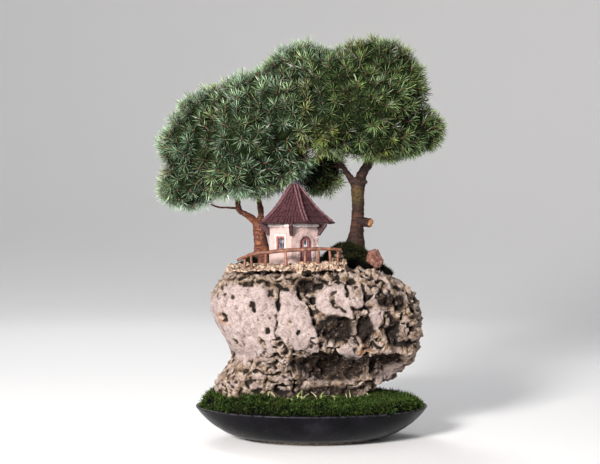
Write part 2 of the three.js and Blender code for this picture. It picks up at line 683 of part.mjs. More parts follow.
// The face with its needle, or the bare face where a needle would meet its neighbours.
function needleOn(corners, pad, clear, seed) {
  const [a, b, c] = corners;
  const middle = a.clone().add(b).add(c).divideScalar(3);
  const normal = b.clone().sub(a).cross(c.clone().sub(a)).normalize();
  const outward = middle.clone().sub(pad.at).normalize();
  const turn = V(sin(seed * 1.7), cos(seed * 2.3), 0.6 + 0.4 * sin(seed * 3.1));
  const base = normal.clone().multiplyScalar(0.8).add(outward);
  for (const stray of [0.34, 0.7, -0.5]) {
    const direction = base.clone().normalize().addScaledVector(turn, stray).normalize();
    if (direction.dot(normal) < 0.45) continue;
    const tip = middle.clone().addScaledVector(direction, NEEDLE_LONG);
    const steps = [0.25, 0.5, 0.75, 1].map((t) => middle.clone().lerp(tip, t));
    if (!steps.every(clear)) continue;
    return raised(corners, middle, tip);
  }
  return corners;
}

function raised(corners, middle, tip) {
  const side = corners[0].distanceTo(corners[1]);
  const share = min(0.3, NEEDLE_THICK / side);
  const inner = corners.map((p) => middle.clone().lerp(p, share));
  const made = [];
  for (let i = 0; i < 3; i++) {
    const j = (i + 1) % 3;
    made.push(corners[i], corners[j], inner[j], corners[i], inner[j], inner[i]);
    made.push(inner[i], inner[j], tip);
  }
  return made;
}

function spruce(name, stems, pads, allPads, colour) {
  const limbs = [...stems, ...pads.map(branchTo)];
  const hole = woodOf(limbs, HOLE_GAP);
  const near = woodPoints(limbs);
  addPiece(name + "_wood", woodOf(limbs), 0x8a6238);
  pads.forEach((pad, i) => {
    const planes = allPads
      .filter((other) => other !== pad)
      .map((other) => planeBetween(pad, other))
      .filter(Boolean);
    const body = padBody(pad, allPads.indexOf(pad), planes, near).subtract(hole);
    addPiece(name + "_pad_" + (i + 1), largest(body), colour);
  });
  return hole;
}

// Assembly
addPiece("tray", trayShell(), 0x17161a, 0.25);
const rockHole = rockBody(HOLE_GAP);
const rockMesh = addPiece("rock", rockBody(0), 0xb5aca2);
trayFilling(rockHole);
const ledgeMesh = addPiece("rock_ledge", ledge(), 0xd8cdb8);
cottage();
fence(ledgeMesh);

const allPads = [...LEFT_PADS, ...RIGHT_PADS];
const leftHole = spruce("spruce_left", LEFT_STEMS, LEFT_PADS, allPads, 0x5c7358);
const rightHole = spruce("spruce_right", RIGHT_STEMS, RIGHT_PADS, allPads, 0x66763f);

const RED_STONE = { at: V(80, -22, 197.6), size: V(10, 8, 10.5), seed: 31 };
const redStoneRoom = RED_STONE.size.clone().addScalar(HOLE_GAP);
const redStoneHole = stone(RED_STONE.at, redStoneRoom, RED_STONE.seed);
addPiece("red_stone", stone(RED_STONE.at, RED_STONE.size, RED_STONE.seed), 0x8e5648);
const ledgeHole = solid(ledge(HOLE_GAP));
const mounds = { left: [MOUND_LEFT, leftHole], right: [MOUND_RIGHT, rightHole] };
for (const [side, [mound, woodHole]] of Object.entries(mounds)) {
  let body = moundBody(mound, rockMesh).subtract(rockHole).subtract(woodHole).subtract(ledgeHole);
  if (side === "right") body = body.subtract(solid(redStoneHole));
  addPiece("soil_mound_" + side, largest(body), 0x5b5a2a);
}
const PEBBLES = [
  { x: 36, y: -63, size: V(5, 4.4, 3) },
  { x: 45.2, y: -61, size: V(4.2, 5, 3.2) },
  { x: 40.5, y: -62, size: V(5.6, 4.8, 2.8) },
  { x: 41.2, y: -61.5, size: V(3.8, 3.8, 2.2) },
];
let under = solid(ledge());
PEBBLES.forEach(({ x, y, size }, i) => {
  const pebble = lowered(solid(stone(V(x, y, PEBBLE_DROP_Z), size, 41 + i, 0)), under);
  addPiece("pebble_" + (i + 1), pebble, 0xc9bba6);
  under = under.add(pebble);
});

export default group;
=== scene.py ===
import math
import random

import bmesh
import bpy
import numpy as np
from mathutils import Matrix, Vector, noise
from mathutils.bvhtree import BVHTree


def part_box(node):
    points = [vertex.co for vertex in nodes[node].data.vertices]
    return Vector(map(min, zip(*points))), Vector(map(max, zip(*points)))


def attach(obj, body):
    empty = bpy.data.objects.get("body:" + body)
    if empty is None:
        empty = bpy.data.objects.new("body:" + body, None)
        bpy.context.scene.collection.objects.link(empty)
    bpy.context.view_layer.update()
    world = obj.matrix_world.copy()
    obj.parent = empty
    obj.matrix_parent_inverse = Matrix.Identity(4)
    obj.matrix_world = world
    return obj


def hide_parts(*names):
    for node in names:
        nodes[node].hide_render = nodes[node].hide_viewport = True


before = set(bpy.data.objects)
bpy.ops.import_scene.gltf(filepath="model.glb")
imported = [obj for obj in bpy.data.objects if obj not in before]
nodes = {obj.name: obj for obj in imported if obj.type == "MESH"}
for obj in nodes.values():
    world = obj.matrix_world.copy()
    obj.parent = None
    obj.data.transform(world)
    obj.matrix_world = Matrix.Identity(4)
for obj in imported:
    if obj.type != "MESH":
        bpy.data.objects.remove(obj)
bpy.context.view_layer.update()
scene = bpy.context.scene
MM = 0.001
UP = Vector((0, 0, 1))
# A turn that never comes round to the same place: for needles, leaves and spread directions
GOLDEN_TURN = 2.39996
FULL_TURN = 6.3


# Camera: level, at the photograph's distance
camera = bpy.data.objects.new("camera", bpy.data.cameras.new("camera"))
scene.collection.objects.link(camera)
camera.location = (-0.00055, -1.295, 0.2264)
camera.rotation_euler = (math.radians(90), 0, 0)
camera.data.lens = 70.62
camera.data.sensor_width = 36
scene.camera = camera


# Helpers for shapes, which are all built in millimetres
def smoothstep(low, high, value):
    t = min(1.0, max(0.0, (value - low) / (high - low)))
    return t * t * (3 - 2 * t)


def ripple(point, size, seed=0):
    """A smooth value from -1 to 1 that changes over the given size in mm."""
    return noise.noise(point / size + Vector((seed * 17.3, seed * 5.1, -seed * 9.7)))


def swirl(point, size, seeds, reach):
    """A shift of a point that changes smoothly, with a seed for each axis."""
    return Vector([ripple(point, size, seed) for seed in seeds]) * reach


def cell(point, size, seed=0):
    """How far the two nearest cell middles are, and a random number for the nearest."""
    distances, middles = noise.voronoi(point / size + Vector((seed * 3.7, seed * 11.9, seed * 7.3)))
    chance = noise.cell(middles[0] * 91.7) * 0.5 + 0.5
    return distances[0] * size, distances[1] * size, chance


def shaken(dice, most):
    return Vector([dice.uniform(-most, most) for _ in range(3)])


def copy_of(node):
    """A CAD node's mesh in millimetres with its loose triangles joined."""
    shape = bmesh.new()
    shape.from_mesh(nodes[node].data)
    bmesh.ops.scale(shape, vec=(1 / MM,) * 3, verts=shape.verts)
    bmesh.ops.remove_doubles(shape, verts=shape.verts, dist=0.01)
    return shape


def soften(shape, times):
    for _ in range(times):
        bmesh.ops.smooth_vert(
            shape, verts=shape.verts, factor=0.5, use_axis_x=True, use_axis_y=True, use_axis_z=True
        )


def baked(shape, name):
    """The mesh of a shape, which ends with it."""
    mesh = bpy.data.meshes.new(name)
    shape.to_mesh(mesh)
    shape.free()
    return mesh


def mesh_of(shape, name):
    """A mesh in metres of a shape in millimetres."""
    bmesh.ops.scale(shape, vec=(MM,) * 3, verts=shape.verts)
    return baked(shape, name)


def store(mesh, name, values):
    attribute = mesh.attributes.new(name, "FLOAT", "POINT")
    attribute.data.foreach_set("value", np.asarray(values, np.float32))


def piece(mesh, name, finishes, node_name=None, smooth=False):
    """A visible piece of a mesh or a shape, which replaces a CAD node where one is named."""
    if isinstance(mesh, bmesh.types.BMesh):
        mesh = mesh_of(mesh, name)
    made = bpy.data.objects.new(name, mesh)
    scene.collection.objects.link(made)
    for finish in finishes:
        mesh.materials.append(finish)
    if smooth:
        mesh.shade_smooth()
    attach(made, "root")
    if node_name:
        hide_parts(node_name)


def facing(direction, spin=0.0):
    """A rotation that turns +Z to a direction."""
    turn = direction.to_track_quat("Z", "Y").to_matrix().to_4x4()
    return turn @ Matrix.Rotation(spin, 4, "Z")


def add_mesh(shape, mesh, matrix=Matrix.Identity(4)):
    """Adds a transformed copy of a mesh to a shape."""
    placed = mesh.copy()
    placed.transform(matrix)
    shape.from_mesh(placed)
    bpy.data.meshes.remove(placed)


def cone(shape, foot, tall, low, high, sides=3, caps=False):
    """Adds a cone on +Z that starts at the height foot, with its lower and upper radius."""
    made = bmesh.ops.create_cone(shape, cap_ends=caps, segments=sides, radius1=low, radius2=high, depth=tall)
    bmesh.ops.translate(shape, vec=(0, 0, foot + tall / 2), verts=made["verts"])


def evaluated(name, data, prepare=None):
    """The mesh that Blender makes of a curve, or of a mesh with the modifier that prepare adds."""
    carrier = bpy.data.objects.new(name, data)
    scene.collection.objects.link(carrier)
    if prepare:
        prepare(carrier)
    shown = carrier.evaluated_get(bpy.context.evaluated_depsgraph_get())
    mesh = bpy.data.meshes.new_from_object(shown)
    bpy.data.objects.remove(carrier)
    return mesh


def even_skin(shape, step):
    """The same body with a skin of even squares, its parts fused."""

    def remeshed(carrier):
        remesh = carrier.modifiers.new("even", "REMESH")
        remesh.mode = "VOXEL"
        remesh.voxel_size = step

    mesh = evaluated("uneven", baked(shape, "uneven"), remeshed)
    made = bmesh.new()
    made.from_mesh(mesh)
    return made


def rod(points, radii, roundness=3, steps=12):
    """A round stick through the points, with a radius at each."""
    curve = bpy.data.curves.new("rod", "CURVE")
    curve.dimensions = "3D"
    curve.bevel_depth = 1
    curve.bevel_resolution = roundness
    curve.use_fill_caps = True
    curve.resolution_u = steps
    spline = curve.splines.new("BEZIER")
    spline.bezier_points.add(len(points) - 1)
    for knot, point, radius in zip(spline.bezier_points, points, radii):
        knot.co = point
        knot.radius = radius
        knot.handle_left_type = "AUTO"
        knot.handle_right_type = "AUTO"
    return evaluated("rod", curve)


def raised(shape, height_at):
    """Raises a skin; returns each vertex's place before it and how deep it then lies in mm."""
    shape.normal_update()
    shape.verts.index_update()
    before = [v.co.copy() for v in shape.verts]
    heights = np.array([height_at(v.co, v.normal) for v in shape.verts])
    for v, height in zip(shape.verts, heights):
        v.co += v.normal * height
    ends = np.array([[v.index for v in e.verts] for e in shape.edges])
    count = np.bincount(ends.ravel(), minlength=len(heights))
    around = heights.copy()
    for _ in range(14):
        total = np.bincount(ends[:, 0], around[ends[:, 1]], len(heights))
        total += np.bincount(ends[:, 1], around[ends[:, 0]], len(heights))
        around = 0.5 * around + 0.5 * total / np.maximum(count, 1)
    return before, around - heights


# Finishes
class Finish:
    """A material: its methods add nodes and give what they put out, and made() completes it."""

    def __init__(self, name, **settings):
        self.material = bpy.data.materials.new(name)
        self.material.use_nodes = True
        self.tree = self.material.node_tree
        self.shader = self.tree.nodes["Principled BSDF"]
        self.places = {}
        for socket, value in settings.items():
            self.shader.inputs[socket.replace("_", " ")].default_value = value

    def node(self, kind, inputs, output, **settings):
        """A node's output; its inputs are given by name or number, as a value or as a link."""
        made = self.tree.nodes.new("ShaderNode" + kind)
        for key, value in settings.items():
            setattr(made, key, value)
        for key, value in inputs.items():
            if isinstance(value, bpy.types.NodeSocket):
                self.tree.links.new(value, made.inputs[key])
            else:
                made.inputs[key].default_value = value
        return made.outputs[output]

    def place(self, stretch=(1, 1, 1)):
        """Object coordinates in millimetres, divided by a stretch."""
        if stretch not in self.places:
            inputs = {"Vector": self.node("TexCoord", {}, "Object"), "Scale": [1 / MM / s for s in stretch]}
            self.places[stretch] = self.node("Mapping", inputs, "Vector")
        return self.places[stretch]

    def speckle(self, size, detail=4.0, roughness=0.6, stretch=(1, 1, 1)):
        inputs = {"Vector": self.place(stretch), "Scale": 1 / size, "Detail": detail, "Roughness": roughness}
        return self.node("TexNoise", inputs, "Fac")

    def cells(self, size):
        return self.node("TexVoronoi", {"Vector": self.place(), "Scale": 1 / size}, "Distance")

    def stored(self, name):
        return self.node("Attribute", {}, "Fac", attribute_name=name)

    def ramp(self, factor, *stops):
        """A colour for each factor, through (position, colour) stops."""
        made = self.node("ValToRGB", {"Fac": factor}, "Color")
        elements = made.node.color_ramp.elements
        while len(elements) < len(stops):
            elements.new(0.5)
        for element, (position, colour) in zip(elements, stops):
            element.position = position
            element.color = (*colour, 1)
        return made

    def level(self, factor, low, high):
        """0 below low, 1 above high."""
        return self.node("MapRange", {"Value": factor, "From Min": low, "From Max": high}, "Result")

    def mixed(self, factor, below, above, blend="MIX"):
        colours = [c if isinstance(c, bpy.types.NodeSocket) else (*c, 1) for c in (below, above)]
        inputs = dict(zip((0, 6, 7), (factor, *colours)))
        return self.node("Mix", inputs, 2, data_type="RGBA", blend_type=blend)

    def maths(self, operation, a, b):
        return self.node("Math", {0: a, 1: b}, 0, operation=operation)

    def made(self, colour, height=None, distance=1.0, strength=1.0):
        """The material with its colour, and its bumps of the given distance in mm."""
        self.tree.links.new(colour, self.shader.inputs["Base Color"])
        if height is not None:
            inputs = {"Height": height, "Distance": distance * MM, "Strength": strength}
            self.tree.links.new(self.node("Bump", inputs, "Normal"), self.shader.inputs["Normal"])
        return self.material


def grey(tone):
    return (tone, tone, tone)


# Spruce needles
NEEDLE_LONG = 13.2
NEEDLE_HALF_WIDE = 0.36
NEEDLE_BELLY = 0.5
SHOOT_LONG = 12.0
SHOOT_REACH = 21.0
SHOOT_SPACING = 9.2
SHOOT_TRIES = 4.5
FULL_NEEDLES, THIN_NEEDLES = 42, 22
TWIG_PART, CORE_PART = 1, 2
CORE_DEPTH, CORE_LEAST = 12.5, 4.0
# How far the pads' skins flow into each other, and the most that a valley is filled
BLEND = 9.0
MOST_FILL = 25.0
# How near another pad's middle and another shoot's tip have to be to count
PADS_NEAR = 125
TIPS_NEAR = 90
# Each pad of needles: its middle, its half-sizes to the needle tips, and where its branch starts
LEFT_PADS = [
    ((-123, -8, 274), (40, 38, 28), (-92, 2, 292)),
    ((-117, -12, 319), (44, 44, 37), (-92, 2, 292)),
    ((-95, -6, 355), (45, 44, 33), (-45, 11, 318)),
    ((-68, -36, 288), (45, 42, 31), (-78, 6, 274)),
    ((-60, -42, 331), (46, 44, 38), (-47.5, 12, 306)),
    ((-51, -10, 372), (42, 44, 33), (-36.5, 8, 350)),
    ((2, 2, 407), (44, 46, 33), (-20, 4, 388)),
    ((-12, -40, 356), (44, 42, 41), (-40, 9, 337)),
    ((-20, -18, 306), (36, 38, 32), (-47.5, 12, 304)),
    ((-96, 50, 318), (46, 40, 40), (-47.5, 13, 300)),
    ((-38, 56, 342), (46, 40, 42), (-42, 10, 328)),
    ((-50, 46, 290), (40, 36, 30), (-48.5, 16, 280)),
    ((-28, 46, 390), (42, 38, 30), (-26, 6, 372)),
]
RIGHT_PADS = [
    ((26, -42, 338), (40, 38, 34), (26, -8, 322)),
    ((37, -38, 384), (42, 40, 36), (79, -1, 372)),
    ((79, -4, 412), (45, 46, 32), (79, -2, 392)),
    ((75, -48, 364), (44, 42, 38), (80, 1, 350)),
    ((108, -6, 384), (35, 44, 40), (80, 0, 360)),
    ((129, -4, 337), (35, 40, 28), (80, 3, 334)),
    ((84, -28, 324), (48, 38, 28), (79, 5, 322)),
    ((32, 44, 356), (44, 40, 40), (79, 2, 342)),
    ((90, 50, 372), (46, 40, 38), (80, 1, 352)),
    ((22, 32, 292), (33, 32, 31), (45.5, 5, 300)),
    ((104, 42, 328), (40, 38, 27), (79, 5, 322)),
]
PADS = [(Vector(at), half, Vector(start)) for at, half, start in LEFT_PADS + RIGHT_PADS]
# Young yellow-green growth: its middle and its reach
YOUNG = [((0, -10, 432), 20), ((20, -74, 340), 24), ((-140, -20, 288), 24), ((98, -50, 304), 16)]


def needle_blank():
    """One needle of length 1 on +Z: three sides, pointed at both ends, widest at its belly."""
    shape = bmesh.new()
    cone(shape, 0, NEEDLE_BELLY, 0, 1)
    cone(shape, NEEDLE_BELLY, 1 - NEEDLE_BELLY, 1, 0)
    bmesh.ops.remove_doubles(shape, verts=shape.verts, dist=1e-4)
    return baked(shape, "needle")


def shoot_twig():
    """The woody part of a shoot, with a bud at its end."""
    twig = bmesh.new()
    cone(twig, 0, SHOOT_LONG, 0.7, 0.5, sides=4, caps=True)
    bud = bmesh.ops.create_icosphere(twig, subdivisions=1, radius=0.85)["verts"]
    bmesh.ops.scale(twig, vec=(1, 1, 1.6), verts=bud)
    bmesh.ops.translate(twig, vec=(0, 0, SHOOT_LONG + 0.5), verts=bud)
    for face in twig.faces:
        face.material_index = TWIG_PART
    return baked(twig, "twig")


def shoot_mesh(seed, needles):
    """A twig tip on +Z with its needles all round it: a star when seen from its end."""
    dice = random.Random(seed)
    shape = bmesh.new()
    along, tone = [], []
    blank = needle_blank()
    z = [v.co.z for v in blank.vertices]
    for i in range(needles):
        t = (i + 0.5) / needles
        lean = math.radians(88 - 54 * t**1.6 + dice.uniform(-12, 12))
        turn = GOLDEN_TURN * i + dice.uniform(-0.3, 0.3)
        length = NEEDLE_LONG * (1 - 0.2 * t) * dice.uniform(0.8, 1.12)
        wide = NEEDLE_HALF_WIDE * dice.uniform(0.85, 1.15)
        bend = dice.uniform(-0.3, 0.12) * length
        needle = blank.copy()
        for v in needle.vertices:
            v.co = (v.co.x * wide + bend * v.co.z**2, v.co.y * wide, v.co.z * length)
        rest = Matrix.Translation((0, 0, SHOOT_LONG * (0.1 + 0.9 * t)))
        turned = Matrix.Rotation(turn, 4, "Z") @ Matrix.Rotation(lean, 4, "Y")
        add_mesh(shape, needle, rest @ turned)
        bpy.data.meshes.remove(needle)
        along += z
        tone += [dice.random()] * len(z)
    twig = shoot_twig()
    add_mesh(shape, twig)
    along += [0.0] * len(twig.vertices)
    tone += [0.5] * len(twig.vertices)
    return baked(shape, "shoot"), np.array(along), np.array(tone)


def reach_of(half, direction):
    return 1 / math.sqrt(sum((d / h) ** 2 for d, h in zip(direction, half)))


def pad_gap(point, pad):
    """How far a point lies outside a pad, along the line from its middle; negative inside."""
    across = point - pad[0]
    apart = max(across.length, 0.01)
    return apart - reach_of(pad[1], across / apart)


def crown_gap(point, pads):
    """How far a point lies outside the pads' common skin."""
    return -BLEND * math.log(sum(math.exp(-pad_gap(point, pad) / BLEND) for pad in pads))


def skin_reach(pad, direction, pads, depth=0.0):
    """How far from a pad's middle the crown is the given depth under its skin."""
    free = reach_of(pad[1], direction)
    reach = free - depth
    for _ in range(12):
        gap = crown_gap(pad[0] + direction * reach, pads) + depth
        reach -= gap
        if reach > free + MOST_FILL:
            return None
    return reach if abs(gap) < 1 else None


def planes_round(pad, pads):
    """The planes that a pad shares with its neighbours, as (normal, distance from its middle)."""
    for other in pads:
        if other is pad:
            continue
        across = other[0] - pad[0]
        apart = across.length
        across.normalize()
        mine, theirs = reach_of(pad[1], across), reach_of(other[1], across)
        if mine + theirs > apart - 2:
            yield across, apart * mine / (mine + theirs)


def pad_core(pad, pads, seed):
    """The inner mass of old twigs and needles that the shoots stand out of, which its finish paints near
    black as painted shade inside the crown.
    """
    planes = list(planes_round(pad, pads))
    shape = bmesh.new()
    bmesh.ops.create_icosphere(shape, subdivisions=4, radius=1)
    for v in shape.verts:
        direction = v.co.normalized()
        reach = skin_reach(pad, direction, pads, CORE_DEPTH)
        if reach is None:
            reach = reach_of(pad[1], direction)
        for normal, limit in planes:
            toward = direction.dot(normal)
            if toward > 0:
                reach = min(reach, limit / toward + 0.5)
        rough = 1.6 * ripple(direction * 40, 5, seed) + 2.2 * ripple(direction * 40, 14, seed)
        v.co = pad[0] + direction * max(CORE_LEAST, reach + rough)
    for face in shape.faces:
        face.material_index = CORE_PART
    return baked(shape, "core")


def directions(count, dice):
    """Directions spread evenly over a ball, each a little out of place."""
    for i in range(count):
        z = 1 - 2 * (i + 0.5) / count
        flat = math.sqrt(1 - z * z)
        turn = GOLDEN_TURN * i
        jitter = shaken(dice, 0.09)
        yield (Vector((flat * math.cos(turn), flat * math.sin(turn), z)) + jitter).normalized()


def shoot_places(pad, pads, taken, dice):
    """Where the shoots' tips reach the crown's skin round a pad, and which way they point."""
    tries = int(SHOOT_TRIES * 4 * math.pi * (sum(pad[1]) / 3 / SHOOT_SPACING) ** 2)
    ways = list(directions(tries, dice))
    dice.shuffle(ways)
    close = [tip for tip in taken if (tip - pad[0]).length < TIPS_NEAR]
    for direction in ways:
        reach = skin_reach(pad, direction, pads)
        if reach is None:
            continue
        tip = pad[0] + direction * reach
        if pad_gap(tip, pad) > min(pad_gap(tip, other) for other in pads) + 7:
            continue
        if any((tip - other).length < SHOOT_SPACING for other in close):
            continue
        close.append(tip)
        taken.append(tip)
        here = crown_gap(tip, pads)
        steps = [Vector((1.5, 0, 0)), Vector((0, 1.5, 0)), Vector((0, 0, 1.5))]
        yield tip, Vector([crown_gap(tip + step, pads) - here for step in steps]).normalized()


FULL_SHOOTS = [shoot_mesh(seed, FULL_NEEDLES) for seed in range(7)]
THIN_SHOOTS = [shoot_mesh(seed, THIN_NEEDLES) for seed in range(20, 22)]
TIPS = []


def needle_pad(i, thin_share, name, finishes, node_name):
    """A pad's core and shoots; each point knows how far it is below its shoot's tip."""
    dice = random.Random(1000 + i)
    pad = PADS[i]
    near = [p for p in PADS if (p[0] - pad[0]).length < PADS_NEAR]
    shape = bmesh.new()
    core = pad_core(pad, near, i)
    add_mesh(shape, core)
    along, tone, tint = ([np.zeros(len(core.vertices))] for _ in range(3))
    tips, outs = ([np.zeros((len(core.vertices), 3))] for _ in range(2))
    for tip, outward in shoot_places(pad, near, TIPS, dice):
        axis = (outward + shaken(dice, 0.4) + UP * 0.1).normalized()
        lump = 2.4 * ripple(tip, 17, 3) + dice.uniform(-4.2, 1.2)
        shoots = THIN_SHOOTS if dice.random() < thin_share else FULL_SHOOTS
        mesh, shoot_along, shoot_tone = dice.choice(shoots)
        root = tip + outward * lump - axis * SHOOT_REACH
        turned = facing(axis, dice.uniform(0, FULL_TURN))
        add_mesh(shape, mesh, Matrix.Translation(root) @ turned @ Matrix.Scale(dice.uniform(0.9, 1.06), 4))
        count = len(shoot_along)
        tips.append(np.tile(tip, (count, 1)))
        outs.append(np.tile(outward, (count, 1)))
        along.append(shoot_along)
        tone.append(shoot_tone)
        young = sum(math.exp(-(((tip - Vector(at)).length / wide) ** 2)) for at, wide in YOUNG)
        hue = 0.36 + 0.5 * ripple(root, 30, 8) + dice.uniform(-0.16, 0.16) + 0.3 * young
        tint.append(np.full(count, hue))
    mesh = mesh_of(shape, name)
    places = np.empty(3 * len(mesh.vertices), np.float32)
    mesh.vertices.foreach_get("co", places)
    below = np.concatenate(tips) - places.reshape(-1, 3) / MM
    store(mesh, "below", (below * np.concatenate(outs)).sum(axis=1))
    for key, values in (("along", along), ("tone", tone), ("tint", tint)):
        store(mesh, key, np.concatenate(values))
    piece(mesh, name, finishes, node_name)


def needle_finish(name, blue, green, yellow):
    """Needles in their shoot's hue, each with its own tone; painted shade makes each needle darker toward
    its foot and the crown darker deep below the shoot tips.
    """
    made = Finish(name, Roughness=0.38, Specular_IOR_Level=0.42)
    hue = made.ramp(made.stored("tint"), (0.1, blue), (0.45, green), (0.9, yellow))
    # Painted shade: each needle is darker toward its foot, where the other needles shade it.
    foot, middle = (0.3, 0.33, 0.25), (0.7, 0.7, 0.66)
    shade = made.ramp(made.stored("along"), (0.0, foot), (0.35, middle), (1.0, grey(1)))
    lift = made.ramp(made.stored("tone"), (0.0, grey(0.18)), (0.5, grey(0.5)), (1.0, (1, 0.98, 0.98)))
    # Painted shade: needles darken the deeper they lie below their shoot's tip, down to near black inside
    # the crown.
    depth = made.maths("DIVIDE", made.stored("below"), SHOOT_REACH)
    dim, dark = (0.14, 0.15, 0.14), (0.01, 0.015, 0.01)
    depth_shade = made.ramp(depth, (0.0, grey(1)), (0.25, grey(0.62)), (0.5, dim), (0.8, dark))
    colour = hue
    for factor in (shade, depth_shade, lift):
        colour = made.mixed(1.0, colour, factor, "MULTIPLY")
    return made.made(colour)


def twig_finish():
    made = Finish("twig_bark", Roughness=0.7)
    dark, middle, light = (0.05, 0.022, 0.012), (0.14, 0.07, 0.04), (0.3, 0.2, 0.13)
    colour = made.ramp(made.speckle(3), (0.3, dark), (0.55, middle), (0.72, light))
    return made.made(colour, made.speckle(0.8), 0.3)


def core_finish():
    # Old twigs painted near black: painted shade inside the crown.
    made = Finish("old_twigs_with_inner_shade", Roughness=1.0, Specular_IOR_Level=0.0)
    dark, middle, light = (0.004, 0.006, 0.003), (0.014, 0.02, 0.008), (0.04, 0.034, 0.017)
    colour = made.ramp(made.speckle(2.2, 6), (0.35, dark), (0.6, middle), (0.8, light))
    return made.made(colour, made.speckle(1.5, 5), 1.2)


TWIG = twig_finish()
CORE = core_finish()
LEFT_NEEDLES = needle_finish("blue_green_needles", (0.55, 0.88, 0.58), (0.59, 0.9, 0.46), (0.84, 0.92, 0.32))
RIGHT_NEEDLES = needle_finish(
    "dark_green_needles", (0.38, 0.61, 0.225), (0.43, 0.64, 0.19), (0.69, 0.77, 0.18)
)
for i in range(len(PADS)):
    left = i < len(LEFT_PADS)
    which = f"left_{i + 1}" if left else f"right_{i + 1 - len(LEFT_PADS)}"
    needle_pad(
        i, 0.04 if left else 0.12, f"needles_{which}", [LEFT_NEEDLES if left else RIGHT_NEEDLES, TWIG, CORE],
        f"spruce_{which.replace('_', '_pad_')}",
    )


# Rock
# Smooth pale plates on the rock's front: the corners (x, z), and how far each stands out
PLATES = [
    ([(-104, 148), (-78, 172), (-34, 168), (-22, 140), (-30, 98), (-60, 90), (-88, 104)], 0.5),
    ([(-20, 164), (-5, 165), (3, 152), (17, 125), (20, 107), (8, 103), (-13, 109), (-24, 123)], 3.4),
    ([(14, 158), (24, 172), (46, 172), (56, 136), (40, 138), (18, 144)], 1.4),
    ([(49, 170), (62, 171), (67, 158), (62, 148), (53, 150)], 2.6),
    ([(72, 146), (80, 150), (86, 140), (80, 124), (73, 130)], 1.4),
    ([(38, 104), (50, 110), (66, 104), (62, 92), (46, 90)], 1.8),
]
# Hollows on its front, painted brown and with painted shade: middle (x, z), half-sizes, depth
HOLLOWS = [
    ((38, 126), (20, 14), 5.5), ((34, 84), (42, 17), 7.5), ((6, 170), (13, 8), 3.5),
    ((92, 84), (20, 18), 7.0), ((30, 50), (52, 13), 5.5), ((68, 124), (8, 15), 6.0),
    ((98, 120), (9, 16), 6.0), ((90, 156), (11, 8), 4.0), ((104, 152), (7, 9), 5.0),
]
# Deep holes: the place on the rock's face, the radius and the depth
HOLES = [
    ((6, -74, 172), 5, 9), ((12, -74, 157), 4, 7), ((-6, -74, 176), 3, 6), ((54, -74, 177), 5, 8),
    ((88, -56, 161), 5, 8), ((86, -60, 118), 8, 9), ((98, -50, 98), 9, 9), ((68, -66, 96), 5, 8),
    ((104, -44, 140), 5, 7), ((-49, -76, 146), 2.2, 4), ((-55, -76, 129), 3.2, 4),
    ((-34, -78, 124), 3.6, 5), ((-39, -76, 165), 2.2, 4), ((-26, -78, 107), 2.6, 5),
    ((-70, -74, 150), 1.8, 3), ((-44, -76, 110), 2.2, 4), ((-72, -72, 118), 2.4, 4),
    ((-2, -84, 122), 2, 3), ((-14, -84, 148), 1.8, 3), ((78, -66, 172), 4, 6), ((30, -74, 146), 2, 4),
    ((112, -44, 152), 6, 7), ((76, -64, 108), 6, 8), ((104, -50, 122), 5, 7), ((24, -60, 58), 9, 8),
    ((-64, -66, 48), 6, 6), ((-40, -66, 60), 4, 6), ((118, -30, 118), 6, 7), ((20, 76, 130), 8, 9),
    ((-50, 68, 110), 6, 7), ((80, 66, 120), 8, 9), ((120, 10, 120), 7, 7), ((-82, 20, 120), 6, 6),
    ((-20, 76, 80), 7, 7), ((40, 74, 100), 5, 6), ((100, 48, 88), 7, 7),
]
# Rust-coloured stains: the place and the reach
RUST = [
    ((-86, -60, 134), 12), ((-68, -66, 104), 12), ((98, -60, 88), 11), ((-52, -70, 92), 11),
    ((66, -70, 104), 10), ((88, -66, 156), 8), ((-40, -66, 40), 8),
]
# Small round pits: the distance between them, the largest radius, their share and a seed
PITS = [(12.0, 4.4, 0.55, 3), (6.5, 2.5, 0.6, 7), (3.8, 1.3, 0.5, 8)]
# The front's parts fade in from y = -22 to -42
FRONT = (-22, -42)
CALM_CELL, KNOB_CELL, RIDGE_SIZE = 40, 21, 15
RIDGE_HIGH, KNOB_HIGH, KNOB_UNEVEN = 4.4, 2.2, 3.4


def oval(p, middle, half):
    """1 on the ragged outline of an oval in the front view, less inside it."""
    ragged = 0.17 * ripple(p, 14, 31) + 0.06 * ripple(p, 5, 32)
    return math.hypot((p.x - middle[0]) / half[0], (p.z - middle[1]) / half[1]) + ragged


def sides_of(corners):
    """The sides of an outline that runs clockwise: a point on each and its direction."""
    for start, end in zip(corners, corners[1:] + corners[:1]):
        yield start, (Vector(end) - Vector(start)).normalized()


PLATE_SIDES = [(list(sides_of(corners)), out) for corners, out in PLATES]


def outside(p, sides, ragged):
    """How far a point lies outside a plate's outline in the front view, in mm."""
    return ragged + max((p.z - z) * along.x - (p.x - x) * along.y for (x, z), along in sides)


def raggedness(p):
    return 3.2 * ripple(p, 12, 31) + 1.6 * ripple(p, 4.5, 32)


def front(p):
    return smoothstep(*FRONT, p.y)


def calm(p):
    """1 on the smooth plates, 0 where the rock is rough."""
    ahead, ragged = front(p), raggedness(p)
    on_plate = max(smoothstep(2.5, -2.5, outside(p, sides, ragged)) for sides, _ in PLATE_SIDES)
    on_plate *= 1 - 0.75 * smoothstep(0.18, 0.5, ripple(p, 13, 40))
    near, far, chance = cell(p + swirl(p, 14, (33, 34, 39), 8), CALM_CELL, 35)
    elsewhere = smoothstep(0.55, 0.62, chance) * smoothstep(1, 5, far - near)
    return ahead * on_plate + (1 - ahead) * elsewhere


def hollow(p):
    return front(p) * max(smoothstep(1.15, 0.8, oval(p, at, half)) for at, half, _ in HOLLOWS)


